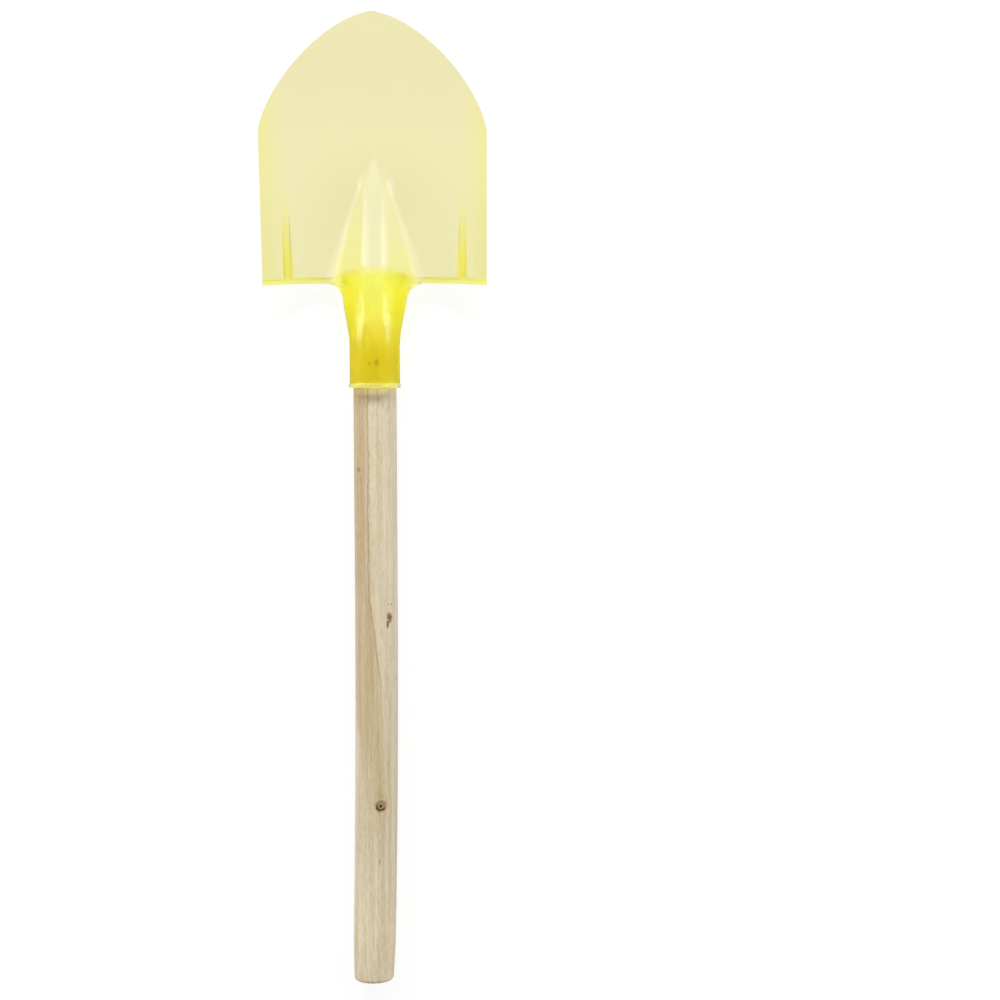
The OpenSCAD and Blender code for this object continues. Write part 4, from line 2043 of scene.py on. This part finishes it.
@dataclass(frozen=True)
class SoftLamp:
    """A large soft lamp: its place over the floor, its size, its power and whether gloss mirrors it."""

    name: str
    place: Point
    wide: float
    long: float
    power: float
    glint: bool = True

    def build(self) -> None:
        """Makes the lamp: one beside the shovel lights straight across it, one beyond it the middle."""
        data = bpy.data.lights.new(self.name, "AREA")
        data.shape = "RECTANGLE"
        data.size = self.wide
        data.size_y = self.long
        data.energy = self.power
        aim = Vector((0.0, self.place[1] if self.place[0] else 0.0, 0.0))
        lamp = new_object(self.name, data)
        lamp.location = self.place
        lamp.visible_glossy = self.glint
        lamp.rotation_euler = (Vector(self.place) - aim).to_track_quat("Z", "Y").to_euler()


@dataclass
class Studio:
    """Pale floor, soft lamps at both sides and beyond the blade, and a surround that is dim overhead."""

    floor_size: float = 3.0
    floor_drop: float = 0.0002
    floor_white: float = 0.86
    floor_glow: float = 0.82
    glow: float = 1.06
    surround_low: float = 0.49
    surround_high: float = 0.41
    overhead: Span = (0.15, 0.75)
    near_floor: Span = (0.3, 0.1)
    lamps: tuple[SoftLamp, ...] = (
        SoftLamp("soft_lamp_left", (-1.18, 0.32, 0.43), 0.7, 0.6, 3.9),
        SoftLamp("soft_lamp_right", (1.18, 0.32, 0.43), 0.7, 0.6, 3.9),
        SoftLamp("soft_lamp_beyond", (0.0, 2.60, 0.78), 2.0, 0.30, 156.0, glint=False),
    )

    def build(self) -> None:
        """Makes the floor, the lamps and the surround."""
        self.floor()
        for lamp in self.lamps:
            lamp.build()
        self.world()
        bpy.context.scene.view_settings.view_transform = "Standard"

    def floor(self) -> None:
        """White floor that keeps the shovel's shadow."""
        half = self.floor_size / 2
        mesh = bpy.data.meshes.new("studio_floor")
        spots = [(-half, -half), (half, -half), (half, half), (-half, half)]
        mesh.from_pydata([(x, y, -self.floor_drop) for x, y in spots], [], [(0, 1, 2, 3)])
        floor = new_object("studio_floor", mesh)
        material, board = new_material("floor_white")
        seen = board.rays("Is Camera Ray", "Is Glossy Ray", "Is Transmission Ray")
        lit = board.node("ShaderNodeBsdfDiffuse", None, {"Color": (*(self.floor_white,) * 3, 1.0)})
        glow = board.node("ShaderNodeEmission", None, {"Color": WHITE, "Strength": self.glow})
        surface = board.node("ShaderNodeMixShader", None, {0: seen * self.floor_glow, 1: lit, 2: glow})
        board.node("ShaderNodeOutputMaterial", None, {"Surface": surface})
        mesh.materials.append(material)

    def world(self) -> None:
        """Soft surround, dim overhead, and white where the camera or the plastic looks past the floor."""
        world = bpy.data.worlds.new("studio_surround")
        bpy.context.scene.world = world
        world.use_nodes = True
        board = NodeBoard(world.node_tree)
        _, _, high = board.split(board.node("ShaderNodeTexCoord", out="Generated"))
        soft = mix(self.surround_low, self.surround_high, high.step(*self.overhead))
        mirrored = board.rays("Is Glossy Ray", "Is Transmission Ray") * high.step(*self.near_floor)
        white = board.rays("Is Camera Ray").most(mirrored)
        sky = board.node("ShaderNodeBackground", None, {"Color": WHITE, "Strength": mix(soft, 1, white)})
        board.node("ShaderNodeOutputWorld", None, {"Surface": sky})


def main() -> None:
    """Builds the shovel, the studio and the camera."""
    logging.basicConfig(level=logging.INFO, format="%(message)s")
    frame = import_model()
    seat = Seat.from_record(frame["record"])
    PhotoCamera().build(seat)
    head = ShovelHead()
    screw = FixingScrew(surface=head.tube_r)
    head.build(seat, screw, ClearPlastic())
    Handle().build(seat, screw, BareWood())
    screw.build(seat, PlatedSteel())
    Studio().build()


if __name__ == "__main__":
    main()
